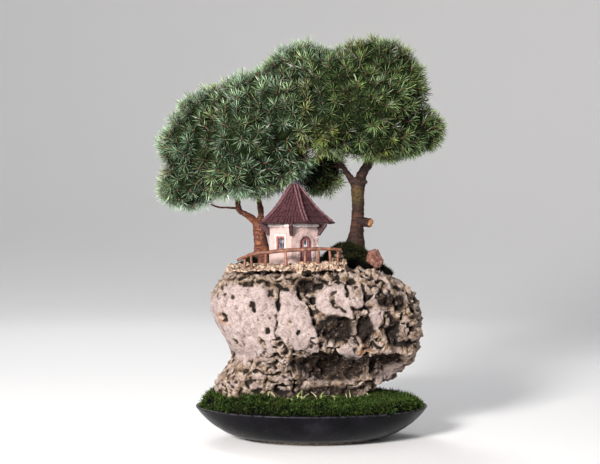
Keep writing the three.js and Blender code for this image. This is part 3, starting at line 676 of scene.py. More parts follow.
def rock_height(p, _normal):
    """Plates with broken edges, between them ridges and knobs, and in all of it hollows and pits."""
    still, ahead = calm(p), front(p)
    rough = 1 - still
    ridges = noise.ridged_multi_fractal(p / RIDGE_SIZE + Vector((3.1, 7.7, 1.3)), 0.9, 2.1, 3, 1.0, 2.0)
    wild = 0.6 + 0.6 * smoothstep(-0.25, 0.35, ripple(p, 42, 55)) + 0.3 * ahead
    wild += 0.3 * smoothstep(58, 95, p.x)
    slanted = Vector((0.75 * p.x + 0.45 * p.z, p.y, 1.1 * p.z - 0.5 * p.x)) + swirl(p, 8, (52, 53, 54), 5)
    near, far, chance = cell(slanted, KNOB_CELL, 51)
    knob = KNOB_HIGH * smoothstep(0.0, 4.0, far - near) + KNOB_UNEVEN * (chance - 0.5)
    height = rough * wild * (RIDGE_HIGH * (ridges - 1.15) + knob - 1.6 + 1.6 * ripple(p, 7, 36))
    height += 1.2 * ripple(p, 20, 37) + still * 1.3 * abs(ripple(p, 8, 41))
    broken = smoothstep(-0.15, 0.3, ripple(p, 16, 38))
    ragged = raggedness(p)
    for sides, out in PLATE_SIDES:
        edge = outside(p, sides, ragged)
        height += ahead * out * smoothstep(1.2, -0.6, edge)
        height -= ahead * 2.4 * smoothstep(2.2, 0.0, abs(edge - 2.2)) * smoothstep(0.3, 3.0, out) * broken
    for at, half, depth in HOLLOWS:
        height -= ahead * (0.3 + 0.7 * rough) * depth * smoothstep(1.12, 0.7, oval(p, at, half))
    warped = p + swirl(p, 9, (4, 5, 6), 3)
    for size, most, share, seed in PITS:
        near, _, chance = cell(warped, size, seed)
        limit = share * (0.2 + 0.8 * rough)
        if chance < limit:
            radius = most * (0.5 + 0.5 * chance / limit)
            height -= radius * smoothstep(radius, radius * 0.2, near) * (0.4 + 0.6 * rough)
    height += (0.5 * ripple(p, 4.2, 9) + 0.3 * abs(ripple(p, 2.4, 10))) * (0.35 + 0.65 * rough)
    height += 0.22 * ripple(p, 1.7, 11) + still * 0.35 * ripple(p, 3.1, 47)
    for at, radius, depth in HOLES:
        apart = (warped - Vector(at)).length
        if apart < radius * 1.5:
            height -= depth * smoothstep(radius * 1.4, radius * 0.5, apart)
    return height


def limestone_finish():
    """Pale on the plates, creamier where it is rough, with rust and freckles; soil colour and painted shade
    darken its hollows and pits, the deepest to black, and worm holes are painted as dark dots of painted
    shade.
    """
    made = Finish("limestone", Roughness=0.88, Specular_IOR_Level=0.25)
    dark, middle, light = (0.14, 0.095, 0.085), (0.29, 0.225, 0.21), (0.42, 0.35, 0.335)
    pale = made.ramp(made.speckle(7, 10, 0.8), (0.34, dark), (0.44, middle), (0.58, light))
    dark, middle, light = (0.045, 0.024, 0.012), (0.19, 0.125, 0.08), (0.39, 0.315, 0.26)
    cream = made.ramp(made.speckle(6, 8, 0.7), (0.36, dark), (0.47, middle), (0.59, light))
    rough = made.maths("SUBTRACT", 1.0, made.stored("calm"))
    patches = made.level(made.speckle(10, 6, 0.7), 0.36, 0.52)
    colour = made.mixed(made.maths("MULTIPLY", patches, rough), pale, cream)
    rust = made.maths("MULTIPLY", made.stored("rust"), made.level(made.speckle(4, 5), 0.42, 0.55))
    colour = made.mixed(rust, colour, (0.36, 0.16, 0.06))
    # The colour of the hollows and pits is near black: soil colour and painted shade.
    dark, middle, light = (0.003, 0.0015, 0.001), (0.014, 0.007, 0.0035), (0.12, 0.07, 0.042)
    soil = made.speckle(3.2, 7, 0.75, stretch=(1, 1, 0.6))
    earth_and_shade = made.ramp(soil, (0.4, dark), (0.53, middle), (0.68, light))
    soil_and_shade_patches = made.level(made.speckle(5, 5), 0.22, 0.46)
    colour = made.mixed(made.maths("MULTIPLY", made.stored("hollow"), soil_and_shade_patches), colour, earth_and_shade)
    # Small dark dots painted for pinholes: painted shade of holes that exist in colour only.
    for size, low, high in ((2.8, 0.14, 0.3), (5.5, 0.12, 0.2)):
        holes = made.level(made.cells(size), low, high)
        some = made.level(made.speckle(2.6 * size, 3), 0.42, 0.46)
        colour = made.mixed(made.maths("MAXIMUM", holes, some), (0.11, 0.075, 0.06), colour)
    grains = made.speckle(2.1, 5, 0.85)
    dark, middle, light = (0.62, 0.58, 0.56), (0.95, 0.94, 0.93), grey(1.1)
    freckles = made.ramp(grains, (0.36, dark), (0.47, middle), (0.6, light))
    colour = made.mixed(1.0, colour, freckles, "MULTIPLY")
    # Painted shade: the deeper a pit lies, the darker it is, down to black.
    deep = made.level(made.stored("pit"), 0.08, 0.75)
    colour = made.mixed(made.maths("MULTIPLY", deep, 0.9), colour, earth_and_shade)
    black = made.level(made.stored("pit"), 0.5, 1.6)
    colour = made.mixed(black, colour, (0.012, 0.008, 0.006))
    return made.made(colour, made.maths("ADD", grains, made.speckle(4.5, 6, 0.7)), 1.6, 1.1)


def rock_face():
    shape = copy_of("rock")
    for cuts in (4, 1):
        bmesh.ops.subdivide_edges(shape, edges=shape.edges, cuts=cuts, use_grid_fill=True)
        soften(shape, 3)
    before, depths = raised(shape, rock_height)
    mesh = mesh_of(shape, "rock_face")
    store(mesh, "pit", depths)
    store(mesh, "calm", [calm(p) for p in before])
    store(mesh, "hollow", [hollow(p) for p in before])
    near = [max(smoothstep(wide, wide * 0.3, (p - Vector(at)).length) for at, wide in RUST) for p in before]
    store(mesh, "rust", near)
    piece(mesh, "rock_face", [limestone_finish()], "rock")


rock_face()


# Wood
LEFT_LIMBS = [
    ([(-43, 22, 190), (-43.5, 20, 205), (-45, 19, 222), (-46.5, 19, 238)], [10.5, 8.4, 7.2, 6.6]),
    ([(-46, 19, 234), (-57.5, 15, 243.5), (-68.5, 12, 252.5), (-70, 10, 263), (-78, 6, 274), (-92, 2, 292)],
     [4.6, 3.9, 3.5, 3.1, 2.7, 2]),
    ([(-45.5, 19, 233), (-44, 19, 246), (-45.5, 18, 258), (-48.5, 16, 275), (-47.5, 12, 306),
      (-36.5, 8, 350), (-20, 4, 388)], [4.3, 3.4, 3.1, 3, 2.8, 2.4, 1.7]),
    ([(-68, 12, 252.6), (-80, 9, 253.4), (-90, 5, 253.8), (-99, 1, 256.8)], [1.3, 1.1, 1, 0.8]),
]
RIGHT_LIMBS = [
    ([(60, 12, 196), (60.5, 11, 212), (62, 10, 224), (63.6, 10, 252), (63.4, 10, 270), (63.5, 10, 286)],
     [14.5, 11, 8.2, 6.6, 7.4, 7.6]),
    ([(61, 10, 278), (55, 8, 286), (45.5, 5, 300), (34, 0, 309), (26, -8, 322)], [4.6, 3.6, 3, 2.4, 1.8]),
    ([(65, 10, 279), (69, 10, 291), (76, 8, 304), (80, 4, 330), (80, 0, 362), (79, -2, 392)],
     [6.4, 5.8, 5.4, 4, 3, 2]),
    ([(66, 8, 279), (74, 5, 282.6)], [2.6, 1.9]),
    ([(66, 6, 238), (77, -3, 236)], [5.6, 5]),
]
CUT_END = Vector((77, -3, 236))
LICHEN_AT = Vector((61, 2, 267))
# A limb with a larger radius than THICK is rounder, and one without SLENDER stays a bare rod
THICK, SLENDER = 3, 1.6
BRANCH_RADII = [2.1, 1.6, 1.1]


def bark_height(p, _normal):
    """Small scales in rings round the trunk, over long soft swellings."""
    bent = p + Vector((ripple(p, 7, 3), ripple(p, 7, 4), ripple(p, 5, 7))) * 1.5
    near, far, chance = cell(Vector((bent.x, bent.y, bent.z * 1.9)), 3.6, 3)
    scale = (0.25 + 0.65 * chance) * smoothstep(0.0, 0.8, far - near)
    rings = 0.3 * ripple(Vector((p.x * 0.2, p.y * 0.2, bent.z)), 1.9, 5)
    return scale + rings + 1.0 * ripple(p, 15, 2) + 0.5 * ripple(p, 6, 8) - 0.4


def twig_height(p, _normal):
    return 0.16 * ripple(p, 3.2, 51) + 0.22 * max(0.0, ripple(p, 7, 52)) + 0.06 * ripple(p, 1.1, 53)


def branch_points(pad):
    at, _, start = pad
    end = at.lerp(start, 0.12)
    return [start, start.lerp(end, 0.5) + UP * 3, end]


def tree_wood(limbs, pads, bark, name, node_name):
    """A tree's limbs and the branches into its pads, with bark, cut ends and lichen."""
    thick, thin = bmesh.new(), bmesh.new()
    for points, radii in limbs:
        roundness = 8 if max(radii) > THICK else 4
        (thin if max(radii) < SLENDER else thick).from_mesh(rod(points, radii, roundness, 16))
    for pad in pads:
        thick.from_mesh(rod(branch_points(pad), BRANCH_RADII, 3, 8))
    bmesh.ops.remove_doubles(thin, verts=thin.verts, dist=0.001)
    thick = even_skin(thick, 0.95)
    soften(thick, 6)
    joined = bmesh.new()
    places, cracks = [], []
    for shape, height_at in ((thick, bark_height), (thin, twig_height)):
        if shape.verts:
            before, depths = raised(shape, height_at)
            joined.from_mesh(mesh_of(shape, name))
            places += before
            cracks.append(depths)
    mesh = baked(joined, name)
    store(mesh, "crack_shade", np.concatenate(cracks))
    store(mesh, "lichen", [smoothstep(15, 4, (p - LICHEN_AT).length) for p in places])
    store(mesh, "cut", [smoothstep(4.9, 3.4, (p - CUT_END).length) for p in places])
    piece(mesh, name, [bark], node_name, smooth=True)


def bark_finish(name, warm_tones, red_tones):
    made = Finish(name, Roughness=0.75, Specular_IOR_Level=0.3)
    rings = made.speckle(1.8, 5, stretch=(6, 6, 0.9))
    warm = made.ramp(rings, *zip((0.34, 0.5, 0.64), warm_tones))
    red = made.ramp(made.speckle(2.2, 6), *zip((0.36, 0.52, 0.66), red_tones))
    colour = made.mixed(made.level(made.speckle(12, 4), 0.42, 0.6), warm, red)
    spots = made.level(made.speckle(2.2, 5), 0.4, 0.52)
    spots = made.maths("MULTIPLY", made.stored("lichen"), spots)
    colour = made.mixed(spots, colour, (0.06, 0.04, 0.008))
    colour = made.mixed(made.stored("cut"), colour, (0.5, 0.24, 0.11))
    # Painted shade: the bark is darkened where its skin lies deep, in its cracks.
    crack_shade = made.level(made.stored("crack_shade"), 0.12, 0.55)
    colour = made.mixed(crack_shade, colour, (0.02, 0.009, 0.006))
    return made.made(colour, made.maths("ADD", rings, made.speckle(1.0, 5)), 0.6)


LEFT_BARK = bark_finish(
    "left_bark",
    [(0.028, 0.007, 0.003), (0.1, 0.028, 0.011), (0.28, 0.1, 0.045)],
    [(0.02, 0.006, 0.004), (0.066, 0.02, 0.012), (0.24, 0.1, 0.068)],
)
# The right tree's bark is painted darker than the left's: painted shade, as the right trunk lies in shade.
SHADED_RIGHT_BARK = bark_finish(
    "right_bark",
    [(0.004, 0.0012, 0.0008), (0.015, 0.0045, 0.002), (0.075, 0.025, 0.0125)],
    [(0.003, 0.001, 0.0008), (0.01, 0.003, 0.002), (0.06, 0.023, 0.015)],
)
tree_wood(LEFT_LIMBS, PADS[: len(LEFT_PADS)], LEFT_BARK, "left_wood", "spruce_left_wood")
tree_wood(RIGHT_LIMBS, PADS[len(LEFT_PADS) :], SHADED_RIGHT_BARK, "right_wood", "spruce_right_wood")


# Ledge, stones and crumbs
LARGE_CRUMB, SMALL_CRUMB = 8.5, 3.6
CHIPS = 330
PEBBLES = 4
# The faces that the red stone is broken along: the way each looks and its distance from the middle
RED_FACES = [
    ((-0.75, -0.6, 0.3), 7.0), ((0.65, -0.65, 0.35), 6.6), ((-0.15, -0.35, 0.92), 9.2),
    ((0.15, -0.95, -0.2), 6.4), ((0.8, 0.5, 0.3), 7.0), ((-0.7, 0.6, 0.2), 7.0),
]


def ledge_height(p, normal):
    side = smoothstep(0.8, 0.2, abs(normal.z))
    bent = p + swirl(p, 6, (25, 26, 27), 3)
    near, far, chance = cell(bent, LARGE_CRUMB, 21)
    lump = 3.2 * (chance - 0.5) - 3.2 * smoothstep(1.3, 0.0, far - near)
    near, far, chance = cell(bent, SMALL_CRUMB, 28)
    lump += 1.2 * (chance - 0.5) - 0.7 * smoothstep(0.6, 0.0, far - near)
    return lump * (0.45 + 0.75 * side) + 2.6 * side * ripple(p, 10, 23) + 0.8 * ripple(p, 14, 24)


def small_stone_height(p, _normal):
    near, far, chance = cell(p, 5.5, 31)
    return 0.9 * (chance - 0.5) - 0.5 * smoothstep(0.6, 0.0, far - near) + 0.35 * ripple(p, 1.8, 32)


def crumbly_finish(name, dark, middle, light, grain=3.0):
    made = Finish(name, Roughness=0.9, Specular_IOR_Level=0.25)
    colour = made.ramp(made.speckle(grain, 8, 0.75), (0.35, dark), (0.48, middle), (0.62, light))
    # Painted shade: crumbs and stones darken where their skin lies deep, in the gaps between them.
    deep = made.level(made.stored("pit"), 0.1, 0.8)
    colour = made.mixed(deep, colour, tuple(c * 0.2 for c in dark))
    return made.made(colour, made.maths("ADD", made.speckle(0.9, 5), made.speckle(2.6, 4)), 0.9)


def stone_piece(node_name, step, height_at, name, finish, shaped=None):
    """A stone's finer copy with even squares and a raised skin that knows where it is deep."""
    shape = even_skin(copy_of(node_name), step)
    if shaped:
        shaped(shape)
    soften(shape, 2)
    _, depths = raised(shape, height_at)
    mesh = mesh_of(shape, name)
    store(mesh, "pit", depths)
    piece(mesh, name, [finish], node_name)


def broken_faces(shape):
    middle = sum((v.co for v in shape.verts), Vector()) / len(shape.verts)
    for v in shape.verts:
        out = v.co - middle
        out.z *= 1.15
        for way, limit in RED_FACES:
            way = Vector(way).normalized()
            out -= way * max(0.0, out.dot(way) - limit)
        v.co = middle + out


def ragged_foot(shape):
    """The underside of the slab's front edge goes up and down."""
    for v in shape.verts:
        low = smoothstep(189, 185, v.co.z) * smoothstep(-50, -64, v.co.y)
        v.co.z += low * (1 + 2.4 * ripple(Vector((v.co.x, v.co.y, 0)), 8, 29))


CRUMB = crumbly_finish("pale_crumbs", (0.06, 0.024, 0.01), (0.27, 0.175, 0.12), (0.58, 0.47, 0.385))
RED_STONE = crumbly_finish("red_stone", (0.07, 0.028, 0.022), (0.15, 0.06, 0.045), (0.28, 0.16, 0.125), 4)
SOIL = crumbly_finish("soil", (0.02, 0.014, 0.01), (0.06, 0.04, 0.026), (0.12, 0.085, 0.06))
stone_piece("rock_ledge", 1.0, ledge_height, "ledge_crumbs", CRUMB, ragged_foot)
stone_piece("red_stone", 0.7, small_stone_height, "reddish_stone", RED_STONE, broken_faces)
for i in range(1, PEBBLES + 1):
    stone_piece(f"pebble_{i}", 0.4, small_stone_height, f"ledge_pebble_{i}", CRUMB)


def chip_mesh(seed):
    """A small angular stone of radius about 1."""
    dice = random.Random(seed)
    shape = bmesh.new()
    bmesh.ops.create_icosphere(shape, subdivisions=1, radius=1)
    stretch = [dice.uniform(0.8, 1.35), dice.uniform(0.65, 1.1), dice.uniform(0.35, 0.7)]
    bmesh.ops.scale(shape, vec=stretch, verts=shape.verts)
    ways = [Vector([dice.gauss(0, 1) for _ in range(3)]).normalized() for _ in range(6)]
    for v in shape.verts:
        for way in ways:
            v.co -= way * max(0.0, v.co.dot(way) - 0.62)
    mesh = baked(shape, "chip")
    store(mesh, "pit", [0.0] * len(mesh.vertices))
    return mesh


def scatter(meshes, spots, name, finishes):
    """Copies of small meshes at (place, size, direction) spots, joined into one piece."""
    dice = random.Random(len(spots))
    shape = bmesh.new()
    for at, size, direction in spots:
        matrix = Matrix.Translation(at) @ facing(direction, dice.uniform(0, FULL_TURN))
        add_mesh(shape, dice.choice(meshes), matrix @ Matrix.Scale(size, 4))
    piece(shape, name, finishes)


def faces_spots(shape, wanted, count, seed):
    """Random places on a shape's faces, evenly by area times the weight of each face."""
    dice = random.Random(seed)
    shape.normal_update()
    bmesh.ops.triangulate(shape, faces=shape.faces)
    weights = [f.calc_area() * wanted(f) for f in shape.faces]
    for face in dice.choices(shape.faces[:], weights=weights, k=count):
        a, b, c = (v.co for v in face.verts)
        s, t = sorted((dice.random(), dice.random()))
        yield a * s + b * (t - s) + c * (1 - t), face.normal.copy(), dice


def ledge_weight(face):
    """How likely a crumb is on a face: mostly along the ledge's curved front edge."""
    at, out = face.calc_center_median(), face.normal
    if out.z < -0.3:
        return 0
    front_edge = -79 + 0.0035 * (at.x + 15) ** 2
    edge = smoothstep(16, 3, at.y - front_edge)
    return 0.15 + 2.6 * edge + (1.5 if abs(out.z) < 0.5 and out.y < 0 else 0)


def ledge_chips():
    shape = copy_of("rock_ledge")
    spots = []
    for at, out, dice in faces_spots(shape, ledge_weight, CHIPS, 5):
        size = 0.8 + 3.0 * dice.random() ** 3
        away = (out + shaken(dice, 0.7)).normalized()
        spots.append((at + out * 0.2 * size, size, away))
    shape.free()
    scatter([chip_mesh(s) for s in range(8)], spots, "ledge_chips", [CRUMB])


ledge_chips()


# Moss in the tray and on the mounds; the tray's rim is an oval round TRAY_X
TRAY_X = 12.1
TRAY_LONG = 127.0
TRAY_FLAT = 91 / 127
TUFT_LEAVES = 6
LEAF_WIDE = 0.09
STRANDS = 30


def moss_finish(name, dark, middle, light, odd):
    """Moss with odd patches and yellow flecks, with painted shade at the foot of its leaves and on the bed
    between them.
    """
    made = Finish(name, Roughness=0.9, Specular_IOR_Level=0.08)
    colour = made.ramp(made.speckle(3, 6, 0.85), (0.4, dark), (0.5, middle), (0.6, light))
    colour = made.mixed(made.level(made.speckle(16, 4), 0.52, 0.68), colour, odd)
    colour = made.mixed(made.level(made.speckle(2.6, 2), 0.68, 0.72), colour, (0.42, 0.33, 0.1))
    # Painted shade: leaves darken toward their feet, and the bed, which lies at the foot of every leaf, is
    # near black.
    shade = made.ramp(made.stored("along"), (0, grey(0.004)), (0.5, grey(0.05)), (1, grey(1.1)))
    return made.made(made.mixed(1.0, colour, shade, "MULTIPLY"), made.speckle(1.0, 5), 1.0)


TRAY_MOSS = moss_finish(
    "tray_moss", (0.002, 0.006, 0.001), (0.022, 0.055, 0.008), (0.28, 0.44, 0.095), (0.06, 0.072, 0.02)
)
MOUND_MOSS = moss_finish(
    "mound_moss", (0.012, 0.014, 0.005), (0.04, 0.05, 0.014), (0.1, 0.11, 0.03), (0.07, 0.045, 0.022)
)


def leaf_blank():
    """One leaf of length 1 on +Z, pointed at its end, that knows how far along it is."""
    shape = bmesh.new()
    cone(shape, 0, 1, 1, 0, caps=True)
    bmesh.ops.remove_doubles(shape, verts=shape.verts, dist=1e-4)
    mesh = baked(shape, "leaf")
    store(mesh, "along", [v.co.z for v in mesh.vertices])
    return mesh


def moss_tuft(seed):
    """A star of short leaves on a stalk's tip."""
    dice = random.Random(seed)
    shape = bmesh.new()
    blank = leaf_blank()
    for i in range(TUFT_LEAVES):
        lean = math.radians(dice.uniform(4, 66))
        leaf = Matrix.Rotation(2.4 * i, 4, "Z") @ Matrix.Rotation(lean, 4, "Y")
        add_mesh(shape, blank, leaf @ Matrix.Diagonal((LEAF_WIDE, LEAF_WIDE, dice.uniform(0.65, 1.2), 1)))
    return baked(shape, "tuft")


def moss_height(p, normal):
    up = max(0.0, normal.z)
    return up * (0.9 * ripple(p, 9, 41) + 0.8 * ripple(p, 3.8, 42) + 0.4 * ripple(p, 1.9, 43) - 0.5)


def over_rim(at):
    """How far a tuft leans outward: only beside the tray's rim."""
    reach = math.hypot((at.x - TRAY_X) / TRAY_LONG, at.y / TRAY_LONG / TRAY_FLAT)
    return 1.3 * smoothstep(0.86, 0.95, reach)


def clumped(face):
    """How likely a tuft is on a face: only on the upper side, and mostly in clumps."""
    middle = face.calc_center_median()
    return (face.normal.z > 0.2) * (0.12 + smoothstep(-0.2, 0.2, ripple(middle, 6, 44)))


def moss_bed(node_name, step, name, material, tufts, long, seed):
    """A finer lumpy copy of a moss node with tufts standing all over its upper side."""
    shape = even_skin(copy_of(node_name), step)
    soften(shape, 1)
    raised(shape, moss_height)
    spots = []
    for at, out, dice in faces_spots(shape, clumped, tufts, seed):
        lean = Vector((dice.uniform(-0.8, 0.8), dice.uniform(-0.8, 0.8), 0))
        lean += Vector((at.x - TRAY_X, at.y, 0)).normalized() * over_rim(at)
        axis = (out + UP * 0.6 + lean).normalized()
        spots.append((at - axis * 0.5, long * dice.uniform(0.55, 1.3), axis))
    mesh = mesh_of(shape, name)
    # The bed takes the darkest painted shade, between the tufts.
    store(mesh, "along", [0.0] * len(mesh.vertices))
    piece(mesh, name, [material], node_name, smooth=True)
    scatter([moss_tuft(s) for s in range(6)], spots, name + "_tufts", [material])


moss_bed("tray_moss", 2.0, "moss_carpet", TRAY_MOSS, 4600, 6.4, 7)
moss_bed("soil_mound_left", 1.6, "left_mound", MOUND_MOSS, 600, 4, 8)
moss_bed("soil_mound_right", 1.6, "right_mound", MOUND_MOSS, 1200, 4.2, 9)


def soil_bed():
    mesh = mesh_of(copy_of("tray_soil"), "soil_bed")
    store(mesh, "pit", [0.0] * len(mesh.vertices))
    piece(mesh, "soil_bed", [SOIL], "tray_soil")


def strand_finish():
    made = Finish("pale_strands", Roughness=0.7)
    dark, middle, light = (0.16, 0.2, 0.06), (0.42, 0.44, 0.2), (0.62, 0.55, 0.38)
    return made.made(made.ramp(made.speckle(12, 3), (0.4, dark), (0.5, middle), (0.6, light)))


def drop(tree, x, y):
    """The place, in millimetres, of the moss under a point in millimetres."""
    at = tree.ray_cast(Vector((x * MM, y * MM, 0.06)), -UP)[0]
    return None if at is None else at / MM


def foot_strands():
    """Pale roots and dry blades of grass at the rock's foot, from the moss up against the rock."""
    moss = bmesh.new()
    moss.from_mesh(bpy.data.objects["moss_carpet"].data)
    ground = BVHTree.FromBMesh(moss)
    moss.free()
    dice = random.Random(61)
    shape = bmesh.new()
    for _ in range(STRANDS):
        x = dice.uniform(-64, 74)
        y = -58
        while y < -20 and drop(ground, x, y) is not None:
            y += 2
        low = drop(ground, x, y - 6)
        if low is None:
            continue
        tall = dice.uniform(2, 11)
        side = Vector((dice.uniform(-8, 8), dice.uniform(0, 3), tall))
        sag = Vector((dice.uniform(-2, 2), -dice.uniform(1, 3), tall * 0.5))
        shape.from_mesh(rod([low - UP * 1.5, low + sag, low + side], [0.45, 0.4, 0.2], 1, 5))
    piece(shape, "foot_strands", [strand_finish()], smooth=True)


soil_bed()
foot_strands()


# Fence
RAIL = [
    (-66, -56, 197), (-58, -64, 200.4), (-47.5, -70, 204), (-35.5, -73.5, 205.2),
    (-16, -76, 207.3), (2.5, -77, 208.3), (25, -75, 208.9), (42.5, -70, 208),
]
RAIL_RADII = [1.5, 1.75, 2.0, 1.95, 2.05, 2.0, 1.65, 1.4]
POST_RADII = [1.75, 1.45, 1.35]
POSTS = 8


def peeled_twig_finish():
    made = Finish("red_twig", Roughness=0.6)
    dark, middle, light = (0.036, 0.012, 0.006), (0.125, 0.043, 0.022), (0.25, 0.11, 0.068)
    colour = made.ramp(made.speckle(4, 7, 0.7), (0.36, dark), (0.5, middle), (0.64, light))
    return made.made(colour, made.speckle(1.0, 5), 0.4)


def fence():
    twigs = [(RAIL, RAIL_RADII, "fence_top_twig", "fence_rail", 16)]
    for i in range(1, POSTS + 1):
        low, high = (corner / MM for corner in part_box(f"fence_post_{i}"))
        middle = (low + high) / 2
        foot = Vector((middle.x + 0.6 * math.sin(2.4 * (i - 1)), middle.y, low.z))
        top = Vector((middle.x - 0.3 * math.sin(2.4 * (i - 1)), middle.y, high.z))
        waist = foot.lerp(top, 0.5) + Vector((0.25 * math.cos(i * 2.0), 0, 0))
        twigs.append(([foot, waist, top], POST_RADII, f"fence_twig_{i}", f"fence_post_{i}", 10))
    bark = peeled_twig_finish()
    for points, radii, name, node_name, steps in twigs:
        shape = bmesh.new()
        shape.from_mesh(rod(points, radii, 4, steps))
        bmesh.ops.remove_doubles(shape, verts=shape.verts, dist=0.001)
        raised(shape, twig_height)
        piece(shape, name, [bark], node_name, smooth=True)


fence()


# Cottage, with five walls
HOUSE = Vector((-6.5, -25, 0))
WALL_R = 27.6
WALL_FLAT = WALL_R * math.cos(math.pi / 5)
FIRST_CORNER = -78.7
WINDOW_WALL = math.radians(FIRST_CORNER + 36)
DOOR_WALL = math.radians(FIRST_CORNER + 108)
CORNICE_Z = 233.4
EAVE_R = 40.5
EAVE_Z = 235.3
EAVE_LIFT = 2.2
ROOF_TOP_Z = 277.5
ROOF_TOP_R = 3.6
ROOF_TURN = 24.3
DOOR_MIDDLE, DOOR_HALF, DOOR_SPRING, DOOR_LOW = 1.5, 7.2, 214.8, 192.2
WALL_STEP = 1.8
ARCH_STONES = 11
DOOR_BOARDS = 5
# The rows of shingles up a slope, from 0 to 1; a shingle's width and thickness
COURSES = [0.0, 0.16, 0.31, 0.47, 0.64, 0.82, 1.0]
SHINGLE_WIDE, SHINGLE_THICK = 3.4, 0.9
HIP_BOARDS = 9
CAP_PROFILE = [(0, 0), (4.5, 0), (4.5, 0.7), (3.7, 1.3), (2.9, 3.0), (1.7, 5.2), (0.7, 7.2), (0, 7.5)]
# Straight bars on a wall: their spans along it, up it and out of it
WINDOW_FRAME = [
    ((-7.6, -5.4), (205.8, 223.6), (-0.4, 0.7)), ((7.0, 9.4), (205.8, 223.6), (-0.4, 1.1)),
    ((-7.6, 9.4), (221.8, 223.8), (-0.4, 0.9)), ((-8.0, 9.8), (205, 207.2), (-0.4, 1.6)),
]
WINDOW_REVEAL = [
    ((-5.6, -3.4), (207.2, 222), (-2.4, 0.1)), ((-5.6, 7.2), (219.8, 222), (-2.4, 0.1)),
    ((1.4, 2.2), (207.2, 220), (-2.6, -1.6)), ((-3.6, 7.2), (207.0, 208.2), (-2.4, 0.3)),
]
DOOR_RAILS = [
    ((-1.9, -1.0), (209.8, 218.2), (-1.2, -0.1)), ((4.2, 5.1), (209.8, 218.2), (-1.2, 0.0)),
    ((-1.9, 5.1), (217.4, 218.4), (-1.2, -0.1)), ((-1.9, 5.1), (209.6, 210.6), (-1.2, -0.1)),
    ((-1.0, 4.4), (199.2, 200.4), (-1.2, -0.2)),
]


def around_house(angle, distance, z):
    return HOUSE + Vector((distance * math.sin(angle), -distance * math.cos(angle), z))


def on_wall(wall, along, out, z):
    """A point of a wall: how far along it, how far out of it, and its height."""
    foot = around_house(wall, WALL_FLAT + out, z)
    return foot + Vector((math.cos(wall), math.sin(wall), 0)) * along


def plaster_finish(name, dark, light):
    made = Finish(name, Roughness=0.85, Specular_IOR_Level=0.25)
    colour = made.ramp(made.speckle(7, 7, 0.7), (0.38, dark), (0.58, light))
    stains = made.level(made.speckle(4, 5), 0.6, 0.72)
    colour = made.mixed(stains, colour, tuple(c * 0.7 for c in dark))
    return made.made(colour, made.maths("ADD", made.speckle(0.8, 5), made.speckle(3, 4)), 0.7)


def timber_finish(name, dark, middle, light):
    made = Finish(name, Roughness=0.7, Specular_IOR_Level=0.3)
    grain = made.speckle(1.3, 7, 0.75, stretch=(1, 1, 5))
    return made.made(made.ramp(grain, (0.32, dark), (0.5, middle), (0.68, light)), grain, 0.5)


def pane_finish():
    made = Finish("dark_pane_painted_glints", Roughness=0.16, Specular_IOR_Level=0.6)
    dark, middle, light = (0.02, 0.022, 0.032), (0.09, 0.1, 0.13), (0.45, 0.47, 0.52)
    # The pale speckles are painted glints: painted reflection on the dark glass.
    return made.made(made.ramp(made.speckle(5, 5), (0.42, dark), (0.54, middle), (0.62, light)))


PLASTER = plaster_finish("pink_plaster", (0.34, 0.24, 0.22), (0.44, 0.325, 0.305))
TRIM = plaster_finish("white_trim", (0.44, 0.36, 0.345), (0.6, 0.52, 0.5))
# The cornice is white, and painted lighter than the white trim to offset the eave's shadow: painted light.
BRIGHTENED_CORNICE = plaster_finish("white_cornice_painted_lighter", (0.66, 0.57, 0.555), (0.9, 0.84, 0.82))
SHINGLE = timber_finish("plum_shingle", (0.013, 0.004, 0.005), (0.046, 0.014, 0.018), (0.12, 0.048, 0.056))
# The hip boards are painted lighter than the shingles: a painted highlight along the hips.
HIGHLIGHTED_HIP = timber_finish("plum_hip_painted_highlight", (0.04, 0.014, 0.018), (0.11, 0.047, 0.055), (0.22, 0.125, 0.135))
DARK_TIMBER = timber_finish("plum_timber", (0.014, 0.005, 0.006), (0.045, 0.018, 0.02), (0.11, 0.055, 0.055))
DOOR_WOOD = timber_finish("mauve_door", (0.045, 0.014, 0.02), (0.12, 0.045, 0.06), (0.24, 0.12, 0.14))
RED_WOOD = timber_finish("red_wood", (0.09, 0.025, 0.02), (0.24, 0.08, 0.065), (0.42, 0.19, 0.15))
STEP = timber_finish("tan_step", (0.24, 0.09, 0.035), (0.5, 0.26, 0.13), (0.7, 0.45, 0.28))
CAP = plaster_finish("grey_cap", (0.035, 0.032, 0.04), (0.11, 0.1, 0.12))
PANE = pane_finish()


def wall_height(p, _normal):
    return 0.28 * ripple(p, 6, 61) + 0.16 * ripple(p, 2.2, 62)


def cornice_height(p, _normal):
    return 0.45 * ripple(p, 3.1, 63) + 0.4 * ripple(p, 6.5, 64)


def cap_height(p, _normal):
    return 0.15 * ripple(p, 2.4, 71)


def house_walls():
    shape = copy_of("house_walls")
    flat = math.radians(1)
    bmesh.ops.dissolve_limit(shape, angle_limit=flat, verts=shape.verts, edges=shape.edges)
    for _ in range(6):
        bmesh.ops.triangulate(shape, faces=shape.faces)
        long = [e for e in shape.edges if e.calc_length() > WALL_STEP]
        if long:
            bmesh.ops.subdivide_edges(shape, edges=long, cuts=1)
    bmesh.ops.triangulate(shape, faces=shape.faces)
    raised(shape, wall_height)
    piece(shape, "plaster_walls", [PLASTER], "house_walls")


def block(shape, corners, soft):
    """A block between eight corners, ordered as a cube's: x slowest, then y, then z."""
    made = bmesh.ops.create_cube(shape, size=2)["verts"]
    made.sort(key=lambda v: (v.co.x, v.co.y, v.co.z))
    for v, corner in zip(made, corners):
        v.co = corner
    edges = list({e for v in made for e in v.link_edges})
    bmesh.ops.bevel(
        shape, geom=edges, offset=soft, offset_type="OFFSET", segments=1, profile=0.5,
        affect="EDGES", material=-1,
    )


